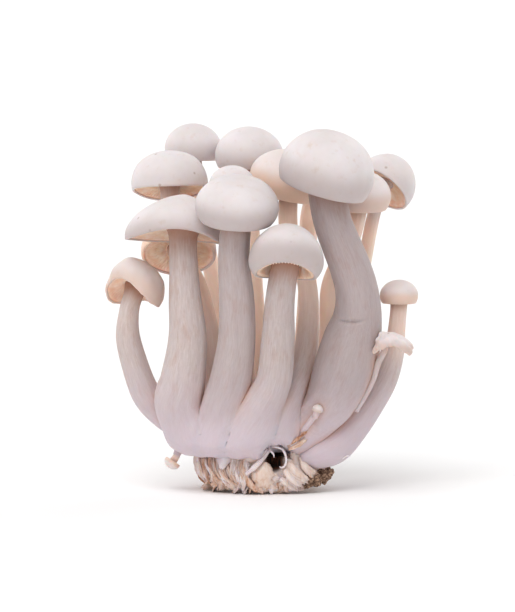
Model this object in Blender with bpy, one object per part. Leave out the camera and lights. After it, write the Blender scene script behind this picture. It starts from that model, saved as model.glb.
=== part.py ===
"""A bunch of white shimeji mushrooms, standing on the torn foot that they all grew from.

The tables are in millimetres, and MM turns them into metres. +X is the viewer's right, +Y is away from
the viewer and +Z is up. The origin is the middle of the foot's flat underside.
"""
import math
import random
from dataclasses import dataclass

import bmesh
import bpy
import numpy as np

MM = 0.001
COLLECTION = "white_shimeji_bunch"

# Clearance between pieces that press on each other
GAP = 0.3
CAP_CLEARANCE = 0.6

# Caps: where the flesh meets the stem, the margin's thickness and the gills' depth, by cap size. The
# gill rings lie at shares of the way from the stem to the margin, each with its share of the depth
ROOF_HEIGHT = 0.10
MARGIN_WIDTH = 0.09
MARGIN_RISE = 0.03
GILL_DEPTH = 0.085
CAVITY_ROUNDNESS = 0.8
GILL_RINGS = ((0.22, 0.5), (0.60, 1.0))
TOP_BANDS = 5

# Stems: how they meet the cap, and how far apart their rings are
APPROACH = 2.5
FLARE = 1.2
RING_STEP = 6.5
CURVE_STEPS = 12
PATH_ROWS = 200
# Stems that end lower than this stand in sockets of the foot, cut by their lowest rings
SOCKET_BELOW = 12.4
SOCKET_RINGS = 4

# The foot's outline at rising shares of its height: share, middle x and y, half its width and depth
FOOT_LEVELS = [
    (0.0, -1.5, -2.0, 12.0, 9.5),
    (0.14, -1.5, -2.0, 14.8, 12.0),
    (0.42, -2.0, -2.0, 16.6, 13.0),
    (0.74, -2.2, -1.5, 16.8, 13.6),
    (1.0, -2.5, -1.5, 15.3, 13.0),
]
FOOT_RIM = 9.9
FOOT_SIDES = 40
PLEAT_DEPTH = 0.045
PLEAT_TWIST = 22
# The top is dished inside the rim, and the flat underside reaches out by this share
DISH_HEIGHT, DISH_SHARE = 8.0, 0.72
FLAT_SHARE = 0.6
# To the right the rim drops by this share, and the underside rises off the ground, between two x
RIM_DROP, DROP_BETWEEN = 0.46, (3.0, 13.0)
UNDERSIDE_RISE, RISE_BETWEEN = 3.4, (4.5, 14.5)

# Torn strips that hang down the foot's sides: how many, their thickness and the random seed
HANGING_STRIPS = 13
STRIP_THICKNESS = 1.1
STRIP_LOWEST = 0.2
STRIP_SEED = 5
WELD = 0.000001

# The strips that show in front, as (x, y, z, width) down each, with the way their flat faces point
FRONT_STRIPS = {
    "cream_flap": ((0, -1, 0.3), [
        (1.2, -12.0, 7.9, 3.0), (-0.4, -14.4, 6.3, 6.0), (-1.4, -15.6, 3.5, 7.6), (-2.2, -15.6, 0.5, 4.6),
    ]),
    "right_strip_upper": ((0.2, -1, 0.4), [
        (5.4, -11.5, 7.7, 1.6), (7.2, -13.8, 5.5, 2.8), (9.0, -14.2, 3.9, 2.4),
    ]),
    "right_strip_middle": ((0.2, -1, 0.4), [
        (4.0, -12.5, 6.1, 1.8), (5.8, -14.8, 3.9, 3.0), (8.2, -15.0, 2.3, 2.4),
    ]),
    "right_strip_lower": ((0, -1, 0.4), [
        (2.0, -12.0, 4.9, 2.0), (4.2, -14.8, 2.5, 3.2), (6.2, -14.8, 0.7, 2.4),
    ]),
    "long_curl": ((0, -1, 0), [
        (2.0, -11.5, 5.9, 1.2), (2.6, -14.2, 6.5, 1.0), (3.8, -15.2, 7.7, 1.0), (4.2, -15.4, 9.5, 1.0),
        (3.2, -15.2, 11.5, 0.9),
    ]),
}
CURL_THICKNESS = 0.9

# A shoulder of the foot in front of the largest stem, as its middle and half sizes
SHOULDER_AT = (4.8, -10.2, 8.0)
SHOULDER_SIZE = (3.4, 3.0, 3.2)

# The dark hollow in the foot's front: its middle and its half sizes
HOLLOW_AT = (1.0, -15.4, 9.3)
HOLLOW_SIZE = (3.0, 4.6, 2.9)

# The dark crust: lumps of growing substrate under the foot's right, as x, y, z and radius
CRUST_LUMPS = [
    (12.2, -10.0, 3.3, 2.1), (10.2, -11.6, 3.1, 1.7), (14.2, -8.6, 4.2, 1.9), (12.6, -11.6, 3.5, 1.6),
    (15.6, -7.8, 5.2, 1.4), (14.8, -10.0, 4.2, 1.3), (8.8, -12.6, 2.3, 1.2),
]


@dataclass
class Mushroom:
    """One mushroom. Its cap's widest plane is centred on cap_at, and its stem runs from the foot up."""

    name: str
    cap_at: tuple
    radius: float
    height: float
    # The way the cap's top points
    axis: tuple
    # Degrees from the apex round to the margin: over 90 the margin rolls inward
    curl: float
    # (x, y, z, radius) from the foot to just below the cap
    stem: list
    # The cap's top has twice as many sides as the stem, and its gilled face four times as many
    sides: int = 12
    # How far the dome is drawn to a cone, from 0 to 1
    cone: float = 0.0
    # How far the apex and the stem are off the margin's centre, along the cap's own right and away
    shift: tuple = (0, 0)
    # The margin's waves, as (lobes, height, degrees of the first crest)
    waves: tuple = ()
    gilled: bool = True


MUSHROOMS = [
    Mushroom("front_left", (-25.7, -9, 69.8), 13.6, 11.0, (0.04, 0.20, 1), 97, [
        (-17.3, -5.5, 12.3, 4.4), (-19.3, -6.6, 14.9, 5.5), (-22.5, -8, 18.2, 6.3), (-24.5, -11, 25.2, 6.6),
        (-23.4, -13, 30.8, 6.1), (-22.1, -13.5, 41.7, 5.2), (-22.8, -13, 52.4, 4.4), (-23.2, -11, 62.3, 3.8),
    ], cone=0.2, shift=(2.4, 0), waves=((2, 1.0, 90), (3, 0.4, 40))),
    Mushroom("left_behind", (-24.8, 13.5, 63.4), 10.5, 8.5, (0.0, 0.78, 1), 100, [
        (-13.0, 2, 8.8, 2.8), (-14.5, 0, 19.3, 3.0), (-15.6, -2, 34.9, 2.8), (-17.0, 0, 45.7, 2.6),
        (-20.0, 5, 55.3, 2.6),
    ], sides=9),
    Mushroom("upper_left", (-27.2, 12, 81.3), 10.7, 9.8, (-0.03, 0.28, 1), 100, [
        (-11.0, 6.5, 8.8, 2.9), (-13.5, 11, 19.3, 3.1), (-18.0, 19, 37.3, 2.8), (-22.0, 25.5, 49.3, 2.6),
        (-25.2, 27.3, 59.3, 2.5), (-26.8, 25, 67.3, 2.5), (-27.2, 19, 74.3, 2.6),
    ], sides=9, waves=((2, 0.6, 0),)),
    Mushroom("top_left_back", (-21.0, 31.5, 90.0), 8.0, 7.1, (0.0, 0.05, 1), 118, [
        (-6.0, 9, 8.8, 2.8), (-8.5, 13, 19.3, 2.8), (-12.0, 20, 37.3, 2.5), (-16.0, 26.5, 57.3, 2.3),
        (-19.5, 30.5, 77.3, 2.2),
    ], sides=9),
    Mushroom("top_centre", (-5.7, 22.5, 88.8), 9.5, 8.0, (0.0, 0.0, 1), 115, [
        (-1.0, 6, 8.8, 2.9), (-2.5, 10, 21.3, 3.0), (-4.0, 15, 44.3, 2.7), (-5.5, 20, 69.3, 2.6),
    ], sides=9),
    Mushroom("centre_hidden", (-10.2, -4.5, 82.5), 6.4, 5.5, (0.0, 0.0, 1), 115, [
        (-5.0, 0, 8.8, 2.6), (-6.5, 0, 19.3, 2.7), (-7.0, 0, 44.3, 2.4), (-9.0, -3, 65.3, 2.2),
    ], sides=9),
    Mushroom("front_centre", (-8.8, -23, 78.3), 11.5, 8.4, (0.05, -0.21, 1), 122, [
        (-12.2, -10, 10.9, 3.8), (-13.0, -10.5, 13.1, 4.4), (-13.6, -12, 17.0, 5.1),
        (-12.6, -15, 24.0, 5.6), (-10.5, -17, 30.9, 5.6), (-8.9, -18.5, 41.9, 5.0),
        (-8.9, -19.5, 52.8, 4.7), (-9.7, -20.5, 64.3, 4.2),
    ]),
    Mushroom("centre_behind", (5.4, 6, 83.4), 11.3, 8.2, (0.20, -0.10, 1), 126, [
        (-1.4, -11.4, 11.8, 2.8), (-0.7, -12.0, 14.0, 3.6), (0.9, -13.0, 18.4, 4.5), (4.1, -12.4, 25.0, 4.2),
        (8.3, -6.4, 32.7, 3.6), (10.3, -2.6, 43.2, 3.0), (9.8, 1, 56.5, 2.6), (5.2, 4, 68.3, 2.6),
    ]),
    Mushroom("right_large", (15.1, -16, 86.9), 13.2, 11.5, (0.28, -0.14, 1), 115, [
        (4.6, -7.6, 10.8, 2.4), (7.3, -8.4, 13.9, 3.1), (11.4, -9.2, 18.3, 4.9), (16.2, -10.3, 24.8, 6.8),
        (19.8, -11.6, 33.3, 8.1), (22.1, -13, 41.4, 7.8), (23.5, -14, 48.2, 6.5), (23.2, -15, 55.0, 5.8),
        (21.3, -15.5, 61.8, 5.5), (16.5, -16, 74.3, 5.1),
    ]),
    Mushroom("right_behind", (24.3, 5, 79.0), 8.6, 7.0, (0.05, -0.14, 1), 118, [
        (9.0, 2.5, 8.3, 2.8), (11.5, 3.5, 19.3, 2.9), (14.5, 4, 31.3, 2.7), (15.9, 4, 41.3, 2.6),
        (16.2, 4.5, 53.3, 2.6), (19.0, 5, 61.3, 2.5), (22.3, 5, 68.3, 2.4),
    ], sides=9),
    Mushroom("far_right", (31.2, 16.5, 81.1), 8.5, 8.9, (0.80, 0.70, 1), 100, [
        (11.0, 8, 8.3, 2.8), (14.0, 10, 15.3, 2.9), (20.0, 12, 33.3, 2.5), (23.5, 14, 49.3, 2.1),
        (25.6, 15, 60.0, 1.9), (28.0, 15.5, 72.3, 1.8),
    ], sides=9),
    Mushroom("front_low", (4.3, -26.9, 65.2), 10.3, 8.6, (0.06, 0.38, 1), 124, [
        (-7.4, -13, 10.9, 3.6), (-7.8, -13.3, 12.9, 4.0), (-7.3, -14.5, 16.3, 4.7),
        (-3.6, -17, 22.8, 5.3), (0.8, -19, 31.1, 4.8), (2.0, -21, 42.0, 4.5), (2.4, -23, 51.3, 4.0),
        (3.2, -25, 58.3, 3.8),
    ], waves=((2, 1.2, 90),)),
    Mushroom("left_small", (-36.2, -6, 54.7), 8.2, 7.9, (0.36, 0.42, 1), 106, [
        (-17.8, 0.6, 10.9, 2.6), (-23.0, 0, 15.5, 3.2), (-28.4, -1.5, 19.5, 3.5),
        (-32.4, -3, 24.3, 4.0), (-35.1, -4, 29.8, 3.8), (-38.2, -5, 40.8, 3.3), (-38.0, -5.5, 48.4, 2.7),
    ], sides=8, waves=((2, 2.3, 235),)),
    Mushroom("right_small", (34.7, -4, 52.7), 5.3, 4.4, (0.0, 0.0, 1), 118, [
        (8.1, -11.0, 9.2, 2.2), (12.4, -10.1, 10.2, 3.9), (17.1, -7.8, 12.3, 4.8), (22.2, -5.0, 17.5, 4.5),
        (27.0, -4, 23.9, 4.0), (30.8, -4, 29.8, 3.4), (33.2, -4, 36.6, 2.8), (34.2, -4, 44.8, 2.3),
    ], sides=8),
    Mushroom("right_torn", (32.8, -17.5, 40.7), 5.5, 3.3, (0.1, 0.0, 1), 112, [
        (23.0, -10.8, 22.2, 0.8), (25.4, -12.6, 26.4, 0.8), (27.6, -14.4, 31.0, 0.8), (28.9, -15.8, 35.6, 0.9),
    ], sides=8, shift=(-2.2, 0), waves=((2, 0.8, 100), (3, 0.8, 30))),
    Mushroom("back_hidden", (12.5, 27.5, 81.3), 7.5, 6.0, (0.0, 0.05, 1), 110, [
        (5.0, 8, 8.8, 2.8), (7.0, 10, 19.3, 2.8), (8.8, 13, 34.3, 2.6), (10.0, 17, 49.3, 2.5),
        (10.4, 21, 61.3, 2.4), (10.6, 25, 71.3, 2.4),
    ], sides=9),
    Mushroom("pin_right", (12.7, -16.9, 23.1), 1.5, 1.4, (0.35, -0.1, 1), 110, [
        (6.9, -13.0, 14.6, 0.8), (9.4, -14.7, 17.9, 0.8), (11.9, -16.3, 21.3, 0.8),
    ], sides=6, gilled=False),
    Mushroom("pin_left", (-26.4, -4.6, 7.5), 2.3, 1.8, (-0.60, -0.15, -0.9), 105, [
        (-23.9, -3.4, 13.2, 1.5), (-24.5, -3.9, 11.2, 1.3), (-25.3, -4.3, 9.3, 0.9),
    ], sides=6, gilled=False),
]


def unit(vector):
    """The vector at length 1."""
    vector = np.array(vector, float)
    return vector / np.linalg.norm(vector)


def cap_axes(mushroom):
    """The cap's own right, away and up, as three unit vectors."""
    up = unit(mushroom.axis)
    right = unit(np.array([1, 0, 0]) - up[0] * up)
    return right, np.cross(up, right), up


def junction(mushroom):
    """The point where the stem's middle meets the flesh of the cap."""
    local = np.array([*mushroom.shift, ROOF_HEIGHT * mushroom.height])
    return np.array(mushroom.cap_at) + local @ np.array(cap_axes(mushroom))


def smooth_path(points, step=None, count=None):
    """Evenly spaced rows on a smooth curve through the points, which may carry a radius."""
    known = np.array(points, float)
    known = np.vstack([2 * known[0] - known[1], known, 2 * known[-1] - known[-2]])
    fine = []
    for before, start, end, after in zip(known, known[1:], known[2:], known[3:]):
        for t in np.arange(CURVE_STEPS) / CURVE_STEPS:
            square = (2 * before - 5 * start + 4 * end - after) * t ** 2
            cube = (3 * start - before - 3 * end + after) * t ** 3
            fine.append(0.5 * (2 * start + (end - before) * t + square + cube))
    fine = np.array(fine + [known[-2]])
    along = np.append(0, np.cumsum(np.linalg.norm(np.diff(fine[:, :3], axis=0), axis=1)))
    count = count or max(4, round(along[-1] / step) + 1)
    at = np.linspace(0, along[-1], count)
    return np.column_stack([np.interp(at, along, column) for column in fine.T])


def stem_points(mushroom):
    """The stem's points, with two more that bring it square into the cap."""
    up = cap_axes(mushroom)[2]
    top = junction(mushroom)
    radius = mushroom.stem[-1][3]
    return [*mushroom.stem, (*(top - APPROACH * up), radius), (*top, FLARE * radius)]


def nearest_rows(path, points):
    """For each point, the row of the path that it is nearest to."""
    gaps = np.linalg.norm(points[:, None] - path[None, :, :3], axis=2)
    return path[gaps.argmin(axis=1)]


def pressed_stem(points, own_name, paths):
    """Flatten a stem where neighbours lean on it: each pair shares one face, half a gap off each."""
    for name, path in paths.items():
        if name == own_name:
            continue
        own, other = nearest_rows(paths[own_name], points), nearest_rows(path, points)
        toward = other[:, :3] - own[:, :3]
        distance = np.linalg.norm(toward, axis=1)
        normal = toward / distance[:, None]
        plane = (distance ** 2 + own[:, 3] ** 2 - other[:, 3] ** 2) / (2 * distance) - GAP / 2
        over = ((points - own[:, :3]) * normal).sum(axis=1) - plane
        points = points - np.maximum(over, 0)[:, None] * normal
    return points


def pressed_cap(points, own_name, paths):
    """Push a cap's points out of the other mushrooms' stems."""
    for name, path in paths.items():
        if name == own_name:
            continue
        other = nearest_rows(path, points)
        outward = points - other[:, :3]
        distance = np.linalg.norm(outward, axis=1)
        inside = np.maximum(other[:, 3] + CAP_CLEARANCE - distance, 0)
        points = points + (inside / distance)[:, None] * outward
    return points


def stem_rings(mushroom, paths, grow=0.0, press=True):
    """Rings of the stem from its foot up to the cap, pressed by its neighbours or plain and round."""
    rows = smooth_path(stem_points(mushroom), step=RING_STEP * mushroom.sides / 12)
    tangents = np.gradient(rows[:, :3], axis=0)
    right, _, up = cap_axes(mushroom)
    tangents[-1] = up
    angles = np.arange(mushroom.sides) * 2 * math.pi / mushroom.sides
    rings = []
    for row, tangent in zip(rows[::-1], tangents[::-1]):
        tangent = unit(tangent)
        right = unit(right - (right @ tangent) * tangent)
        away = np.cross(tangent, right)
        circle = np.outer(np.cos(angles), right) + np.outer(np.sin(angles), away)
        ring = row[:3] + (row[3] + grow) * circle
        rings.append(pressed_stem(ring, mushroom.name, paths) if press else ring)
    return rings[::-1]


def cap_ring(mushroom, paths, radius, height, sides, pleat=0.0):
    """One ring of the cap, waved toward its margin and pleated by plus and minus the given height."""
    angles = np.arange(sides) * 2 * math.pi / sides
    reach = radius / mushroom.radius
    heights = np.full(sides, height)
    for lobes, crest, first in mushroom.waves:
        heights += crest * reach ** 2 * np.cos(lobes * (angles - math.radians(first)))
    heights += pleat * np.where(np.arange(sides) % 2, 1, -1)
    right, away = np.array(mushroom.shift) * (1 - reach)
    local = np.column_stack([right + radius * np.cos(angles), away + radius * np.sin(angles), heights])
    points = np.array(mushroom.cap_at) + local @ np.array(cap_axes(mushroom))
    return pressed_cap(points, mushroom.name, paths)


def dome(mushroom, degrees):
    """Radius and height of the cap's skin, so many degrees round from the apex."""
    angle = math.radians(degrees)
    radius = mushroom.radius * math.sin(angle)
    height = mushroom.height * math.cos(angle)
    if degrees < 90:
        cone = mushroom.height * (1 - radius / mushroom.radius)
        height += mushroom.cone * (cone - height)
    return radius, height


def cap_rings(mushroom, paths):
    """Rings of the cap: out along the gills, round the margin and over the skin to the apex."""
    lip_radius, lip_height = dome(mushroom, mushroom.curl)
    roof = ROOF_HEIGHT * mushroom.height
    under_sides = (4 if mushroom.gilled else 2) * mushroom.sides
    depth = GILL_DEPTH * mushroom.radius if mushroom.gilled else 0
    rings = []
    inner, rise = lip_radius - MARGIN_WIDTH * mushroom.radius, MARGIN_RISE * mushroom.radius
    start = FLARE * mushroom.stem[-1][3]
    for share, full in GILL_RINGS:
        radius = start + share * (inner - start)
        hollow = (1 - (radius / lip_radius) ** 2) ** CAVITY_ROUNDNESS
        height = lip_height + (roof - lip_height) * hollow
        rings.append(cap_ring(mushroom, paths, radius, height, under_sides, full * depth / 2))
    rings.append(cap_ring(mushroom, paths, inner, lip_height + rise, under_sides))
    for band in range(TOP_BANDS):
        radius, height = dome(mushroom, mushroom.curl * (1 - band / TOP_BANDS))
        rings.append(cap_ring(mushroom, paths, radius, height, 2 * mushroom.sides))
    rings.append(cap_ring(mushroom, paths, 0, dome(mushroom, 0)[1], 1))
    return rings


def bridge(mesh, low, high):
    """Faces between two rings of vertices, of which either may hold more, or be a single point."""
    i = j = 0
    while i < len(low) or j < len(high):
        step_low = (i + 1) * len(high) <= (j + 1) * len(low) and len(low) > 1
        step_high = (i + 1) * len(high) >= (j + 1) * len(low) and len(high) > 1
        corners = [low[i % len(low)]]
        if step_low:
            i += 1
            corners.append(low[i % len(low)])
        if step_high:
            corners.append(high[(j + 1) % len(high)])
        corners.append(high[j % len(high)])
        j += step_high
        mesh.faces.new(corners)
        if len(low) == 1 and j == len(high) or len(high) == 1 and i == len(low):
            break


def loft(name, rings):
    """A closed mesh through rings of points in millimetres, closed by a point at each end."""
    mesh = bmesh.new()
    rows = [[mesh.verts.new(point * MM) for point in ring] for ring in rings]
    for low, high in zip(rows, rows[1:]):
        bridge(mesh, low, high)
    data = bpy.data.meshes.new(name)
    mesh.to_mesh(data)
    mesh.free()
    return data


def material(name, colour, roughness):
    """A plain surface of one colour."""
    surface = bpy.data.materials.new(name)
    surface.use_nodes = True
    shader = surface.node_tree.nodes["Principled BSDF"]
    shader.inputs["Base Color"].default_value = (*colour, 1)
    shader.inputs["Roughness"].default_value = roughness
    surface.diffuse_color = (*colour, 1)
    return surface


def place(name, data, collection, surface):
    """An object of the mesh, smooth except at its sharp edges."""
    thing = bpy.data.objects.new(name, data)
    collection.objects.link(thing)
    data.materials.append(surface)
    data.shade_smooth()
    data.set_sharp_from_angle(angle=math.radians(50))
    return thing


def build_mushroom(mushroom, paths, collection, surface):
    """One mushroom, as one skin from the stem's foot over the gills to the apex."""
    stem = stem_rings(mushroom, paths)
    rings = [stem[0].mean(axis=0)[None], *stem, *cap_rings(mushroom, paths)]
    return place("mushroom_" + mushroom.name, loft(mushroom.name, rings), collection, surface)


def ease(x, start, end):
    """How far x has come from start to end, from 0 to 1, slow at both ends."""
    share = min(max((x - start) / (end - start), 0), 1)
    return share ** 2 * (3 - 2 * share)


def foot_side(angle, share, out=1.0):
    """The point on the foot's side at an angle and a share of its height, or further out by a factor."""
    levels = np.array(FOOT_LEVELS)
    x, y, width, depth = (np.interp(share, levels[:, 0], column) for column in levels.T[1:])
    x += out * width * math.cos(angle)
    y += out * depth * math.sin(angle)
    low = UNDERSIDE_RISE * ease(x, *RISE_BETWEEN)
    high = FOOT_RIM * (1 - RIM_DROP * ease(x, *DROP_BETWEEN))
    return np.array([x, y, low + share * (high - low)])


def foot_rings():
    """Rings of the foot's core, pleated all round, from its flat underside to its dished top."""
    around = [2 * math.pi * k / FOOT_SIDES for k in range(FOOT_SIDES)]
    rings = []
    for share, *_ in FOOT_LEVELS:
        pleat = PLEAT_DEPTH if share > 0 else 0
        twist = math.radians(PLEAT_TWIST) * share
        rings.append(np.array([
            foot_side(angle + twist, share, 1 + pleat * (-1) ** k) for k, angle in enumerate(around)
        ]))
    flat = rings[0] * FLAT_SHARE
    flat[:, 2] = 0
    dish = np.array([foot_side(angle + twist, 1, DISH_SHARE) for angle in around[::2]])
    dish[:, 2] *= DISH_HEIGHT / FOOT_RIM
    return [np.zeros((1, 3)), flat, *rings, dish, dish.mean(axis=0)[None]]


def strip_rings(points, thickness, outward):
    """Rings of a thin strip along points that carry its width, with its flat face toward outward."""
    rows = np.array(points, float)
    rings = []
    for row, tangent in zip(rows, np.gradient(rows[:, :3], axis=0)):
        across = unit(np.cross(outward, tangent))
        side, half = row[3] / 2 * across, thickness / 2 * unit(np.cross(tangent, across))
        ring = row[:3] + np.array([-side - half, side - half, 0.7 * side + half, half - 0.7 * side])
        ring[:, 2] = np.maximum(ring[:, 2], STRIP_LOWEST)
        rings.append(ring)
    return [rings[0].mean(axis=0)[None], *rings, rings[-1].mean(axis=0)[None]]


def hanging_strips():
    """Rings of the torn strips round the foot, each drifting sideways as it hangs."""
    draw = random.Random(STRIP_SEED)
    for k in range(HANGING_STRIPS):
        angle = 2 * math.pi * (k + 0.5 + draw.uniform(-0.2, 0.2)) / HANGING_STRIPS
        drift, width, low = draw.uniform(-0.12, 0.22), draw.uniform(2.6, 4.4), draw.uniform(0.03, 0.24)
        points = []
        for part in (0, 0.5, 1):
            out = 0.97 + 0.08 * math.sin(math.pi * part)
            side = foot_side(angle + drift * part, 0.9 + (low - 0.9) * part, out)
            points.append((*side, width * (1 - 0.6 * part ** 2)))
        yield strip_rings(points, STRIP_THICKNESS, (math.cos(angle), math.sin(angle), 0.2))


def loose(name, data, collection):
    """A working object that a Boolean uses up."""
    thing = bpy.data.objects.new(name, data)
    collection.objects.link(thing)
    thing.hide_render = True
    thing.display_type = "WIRE"
    return thing


def keep_largest(data):
    """Drop the slivers that a cut leaves loose, and weld what it leaves split."""
    mesh = bmesh.new()
    mesh.from_mesh(data)
    bmesh.ops.remove_doubles(mesh, verts=mesh.verts, dist=WELD)
    bodies, seen = [], set()
    for start in mesh.faces:
        body, queue = [], [start]
        while queue:
            face = queue.pop()
            if face not in seen:
                seen.add(face)
                body.append(face)
                queue.extend(other for edge in face.edges for other in edge.link_faces)
        bodies.append(body)
    bodies.sort(key=len)
    for body in bodies[:-1]:
        bmesh.ops.delete(mesh, geom=body, context="FACES")
    mesh.to_mesh(data)
    mesh.free()


def combine(target, operation, cutters):
    """Join to the target all objects of the collection, or cut them away, and remove them."""
    modifier = target.modifiers.new(operation.lower(), "BOOLEAN")
    modifier.operation = operation
    modifier.solver = "MANIFOLD"
    modifier.operand_type = "COLLECTION"
    modifier.collection = cutters
    bpy.context.view_layer.update()
    evaluated = target.evaluated_get(bpy.context.evaluated_depsgraph_get())
    result = bpy.data.meshes.new_from_object(evaluated)
    target.modifiers.clear()
    target.data = result
    keep_largest(result)
    for thing in list(cutters.objects):
        bpy.data.objects.remove(thing)


def ball(centre, radius, subdivisions=1):
    """An icosphere mesh, whose radius may be three half sizes."""
    mesh = bmesh.new()
    bmesh.ops.create_icosphere(mesh, subdivisions=subdivisions, radius=1)
    size = np.ones(3) * radius * MM
    bmesh.ops.scale(mesh, vec=size.tolist(), verts=mesh.verts)
    bmesh.ops.translate(mesh, vec=(np.array(centre) * MM).tolist(), verts=mesh.verts)
    data = bpy.data.meshes.new("ball")
    mesh.to_mesh(data)
    mesh.free()
    return data


def stem_sockets(paths, cutters):
    """Cutters a little larger than the lower end of each stem that reaches the foot."""
    for mushroom in MUSHROOMS:
        if mushroom.stem[0][2] > SOCKET_BELOW:
            continue
        rings = stem_rings(mushroom, paths, grow=GAP, press=False)[:SOCKET_RINGS]
        down = unit(rings[0].mean(axis=0) - rings[1].mean(axis=0))
        rings[0] = rings[0] + GAP * down
        ends = [rings[0].mean(axis=0)[None], rings[-1].mean(axis=0)[None]]
        loose("socket_" + mushroom.name, loft("socket", [ends[0], *rings, ends[1]]), cutters)


def build_foot(paths, collection, cutters, surface):
    """The torn foot: a pleated core with its strips, hollowed in front and socketed for the stems."""
    foot = place("foot", loft("foot", foot_rings()), collection, surface)
    for rings in hanging_strips():
        loose("strip", loft("strip", rings), cutters)
    loose("shoulder", ball(SHOULDER_AT, SHOULDER_SIZE, subdivisions=2), cutters)
    combine(foot, "UNION", cutters)
    loose("hollow", ball(HOLLOW_AT, HOLLOW_SIZE, subdivisions=2), cutters)
    combine(foot, "DIFFERENCE", cutters)
    for name, (outward, points) in FRONT_STRIPS.items():
        thickness = CURL_THICKNESS if "curl" in name else STRIP_THICKNESS
        loose(name, loft(name, strip_rings(points, thickness, outward)), cutters)
    combine(foot, "UNION", cutters)
    for x, y, z, radius in CRUST_LUMPS:
        loose("crust_seat", ball((x, y, z), radius + GAP), cutters)
    stem_sockets(paths, cutters)
    combine(foot, "DIFFERENCE", cutters)
    return foot


def build_crust(paths, collection, cutters, surface):
    """The dark crust, one body of lumps, cut clear of the stems above it."""
    (x, y, z, radius), *lumps = CRUST_LUMPS
    crust = place("substrate_crust", ball((x, y, z), radius), collection, surface)
    for x, y, z, radius in lumps:
        loose("lump", ball((x, y, z), radius), cutters)
    combine(crust, "UNION", cutters)
    stem_sockets(paths, cutters)
    combine(crust, "DIFFERENCE", cutters)
    return crust


def main():
    for thing in list(bpy.data.objects):
        bpy.data.objects.remove(thing)
    collection = bpy.data.collections.new(COLLECTION)
    bpy.context.scene.collection.children.link(collection)
    cutters = bpy.data.collections.new("cutters")
    bpy.context.scene.collection.children.link(cutters)
    flesh = material("white_flesh", (0.80, 0.74, 0.68), 0.6)
    torn = material("torn_mycelium", (0.55, 0.40, 0.26), 0.8)
    bark = material("dark_substrate", (0.06, 0.03, 0.015), 0.95)
    paths = {m.name: smooth_path(stem_points(m), count=PATH_ROWS) for m in MUSHROOMS}
    for mushroom in MUSHROOMS:
        build_mushroom(mushroom, paths, collection, flesh)
    build_foot(paths, collection, cutters, torn)
    build_crust(paths, collection, cutters, bark)


main()
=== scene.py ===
"""Looks for a bunch of white shimeji mushrooms: fine caps, gills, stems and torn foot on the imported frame.

The tables are in millimetres, and MM turns them into metres. +X is the viewer's right, +Y is away from
the viewer and +Z is up.
"""
import math
from dataclasses import dataclass
import bpy
import bmesh
import numpy as np
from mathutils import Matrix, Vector, noise


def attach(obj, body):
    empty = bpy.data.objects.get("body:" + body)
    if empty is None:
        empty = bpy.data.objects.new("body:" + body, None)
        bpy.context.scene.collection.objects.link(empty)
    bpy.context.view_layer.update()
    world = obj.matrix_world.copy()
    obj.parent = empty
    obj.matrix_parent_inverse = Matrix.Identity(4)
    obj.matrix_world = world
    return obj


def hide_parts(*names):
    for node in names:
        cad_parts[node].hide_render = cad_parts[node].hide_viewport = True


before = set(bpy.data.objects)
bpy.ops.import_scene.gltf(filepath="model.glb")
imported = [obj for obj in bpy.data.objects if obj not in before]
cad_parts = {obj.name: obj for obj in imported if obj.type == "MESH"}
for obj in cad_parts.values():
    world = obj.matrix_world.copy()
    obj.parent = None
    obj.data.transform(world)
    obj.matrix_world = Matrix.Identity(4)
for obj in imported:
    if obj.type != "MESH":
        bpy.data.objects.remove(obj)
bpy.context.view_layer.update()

MM = 0.001
# What a way is multiplied by to make it level
LEVEL = (1, 1, 0)

# The camera looks along +Y and a little down, from where the photograph was taken
CAMERA_AT = (-3.4, 0.0, 49.5)
CAMERA_AWAY = 2000
CAMERA_ABOVE = 5
VIEW_HEIGHT = 165.2
SENSOR = 36

# Soft lights: the way each shines, how wide it is in degrees, and its power; and the pale surrounding
LIGHTS = (
    ("high_front", (0.2, 0.5, -0.9), 50, 1.92),
    ("low_front", (0.05, 1, -0.08), 30, 0.34),
    ("back_left", (0.9, -0.9, -0.5), 60, 0.9),
    ("back_right", (-0.9, -0.9, -0.5), 60, 1.05),
)
SKY_POWER = 0.4

# Clearance between pieces that press on each other
GAP = 0.04
CAP_CLEARANCE = 0.5

# Caps, by their size: where the flesh meets the stem, the margin's lip, the hollow's curve, and the skin's
# rows and low lumps
ROOF_HEIGHT = 0.10
MARGIN_WIDTH = 0.09
MARGIN_RISE = 0.03
MARGIN_BULGE = 0.025
LIP_SHARES = (0.12, 0.45, 0.8)
CAVITY_ROUNDNESS = 0.8
SKIN_ROWS, SKIN_SIDES = 30, 96
LUMP_HEIGHT, LUMP_SIZE, LUMP_SINK = 0.016, 7.0, 0.024

# Gills: their depth by cap size, the millimetres between blades, and where long and short blades start
# and both end, as shares of the way from the stem to the margin
GILL_DEPTH, GILL_PITCH, GILL_ROWS = 0.11, 0.6, 12
LONG_FROM, SHORT_FROM, BLADES_END = (0, 0.2), (0.3, 0.5), (0.62, 1.0)
# How far off the stem they start, and the shares of the cap where their pitch is true and where they blend
# into the margin; the shares of the hollow and of the waves that bound their depth, and their least depth
GILLS_OFF_STEM, PITCH_AT, BLEND_FROM = 1.15, 0.6, 0.8
HOLLOW_FILL, WAVES_LEFT, GILL_LEAST = 0.6, 0.75, 0.1

# Stems: how they meet the cap, how fine their rings are, and their fibres' flutes as number and height
APPROACH, FLARE = 2.5, 1.2
RING_STEP, CREASED_STEP, STEM_SIDES = 0.8, 0.35, 56
CURVE_STEPS, PATH_ROWS = 12, 200
FLUTES = ((5, 0.012), (9, 0.008), (14, 0.006), (23, 0.004))
# The fastest that a flute turns round its stem
FLUTE_DRIFT = 0.015
# How near a stem has to come to press on another, melt with it, press on a cap, and tint it
PRESS_WITHIN, FUSE_WITHIN, CAP_WITHIN, TINT_WITHIN = 20, 15, 10, 8

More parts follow.
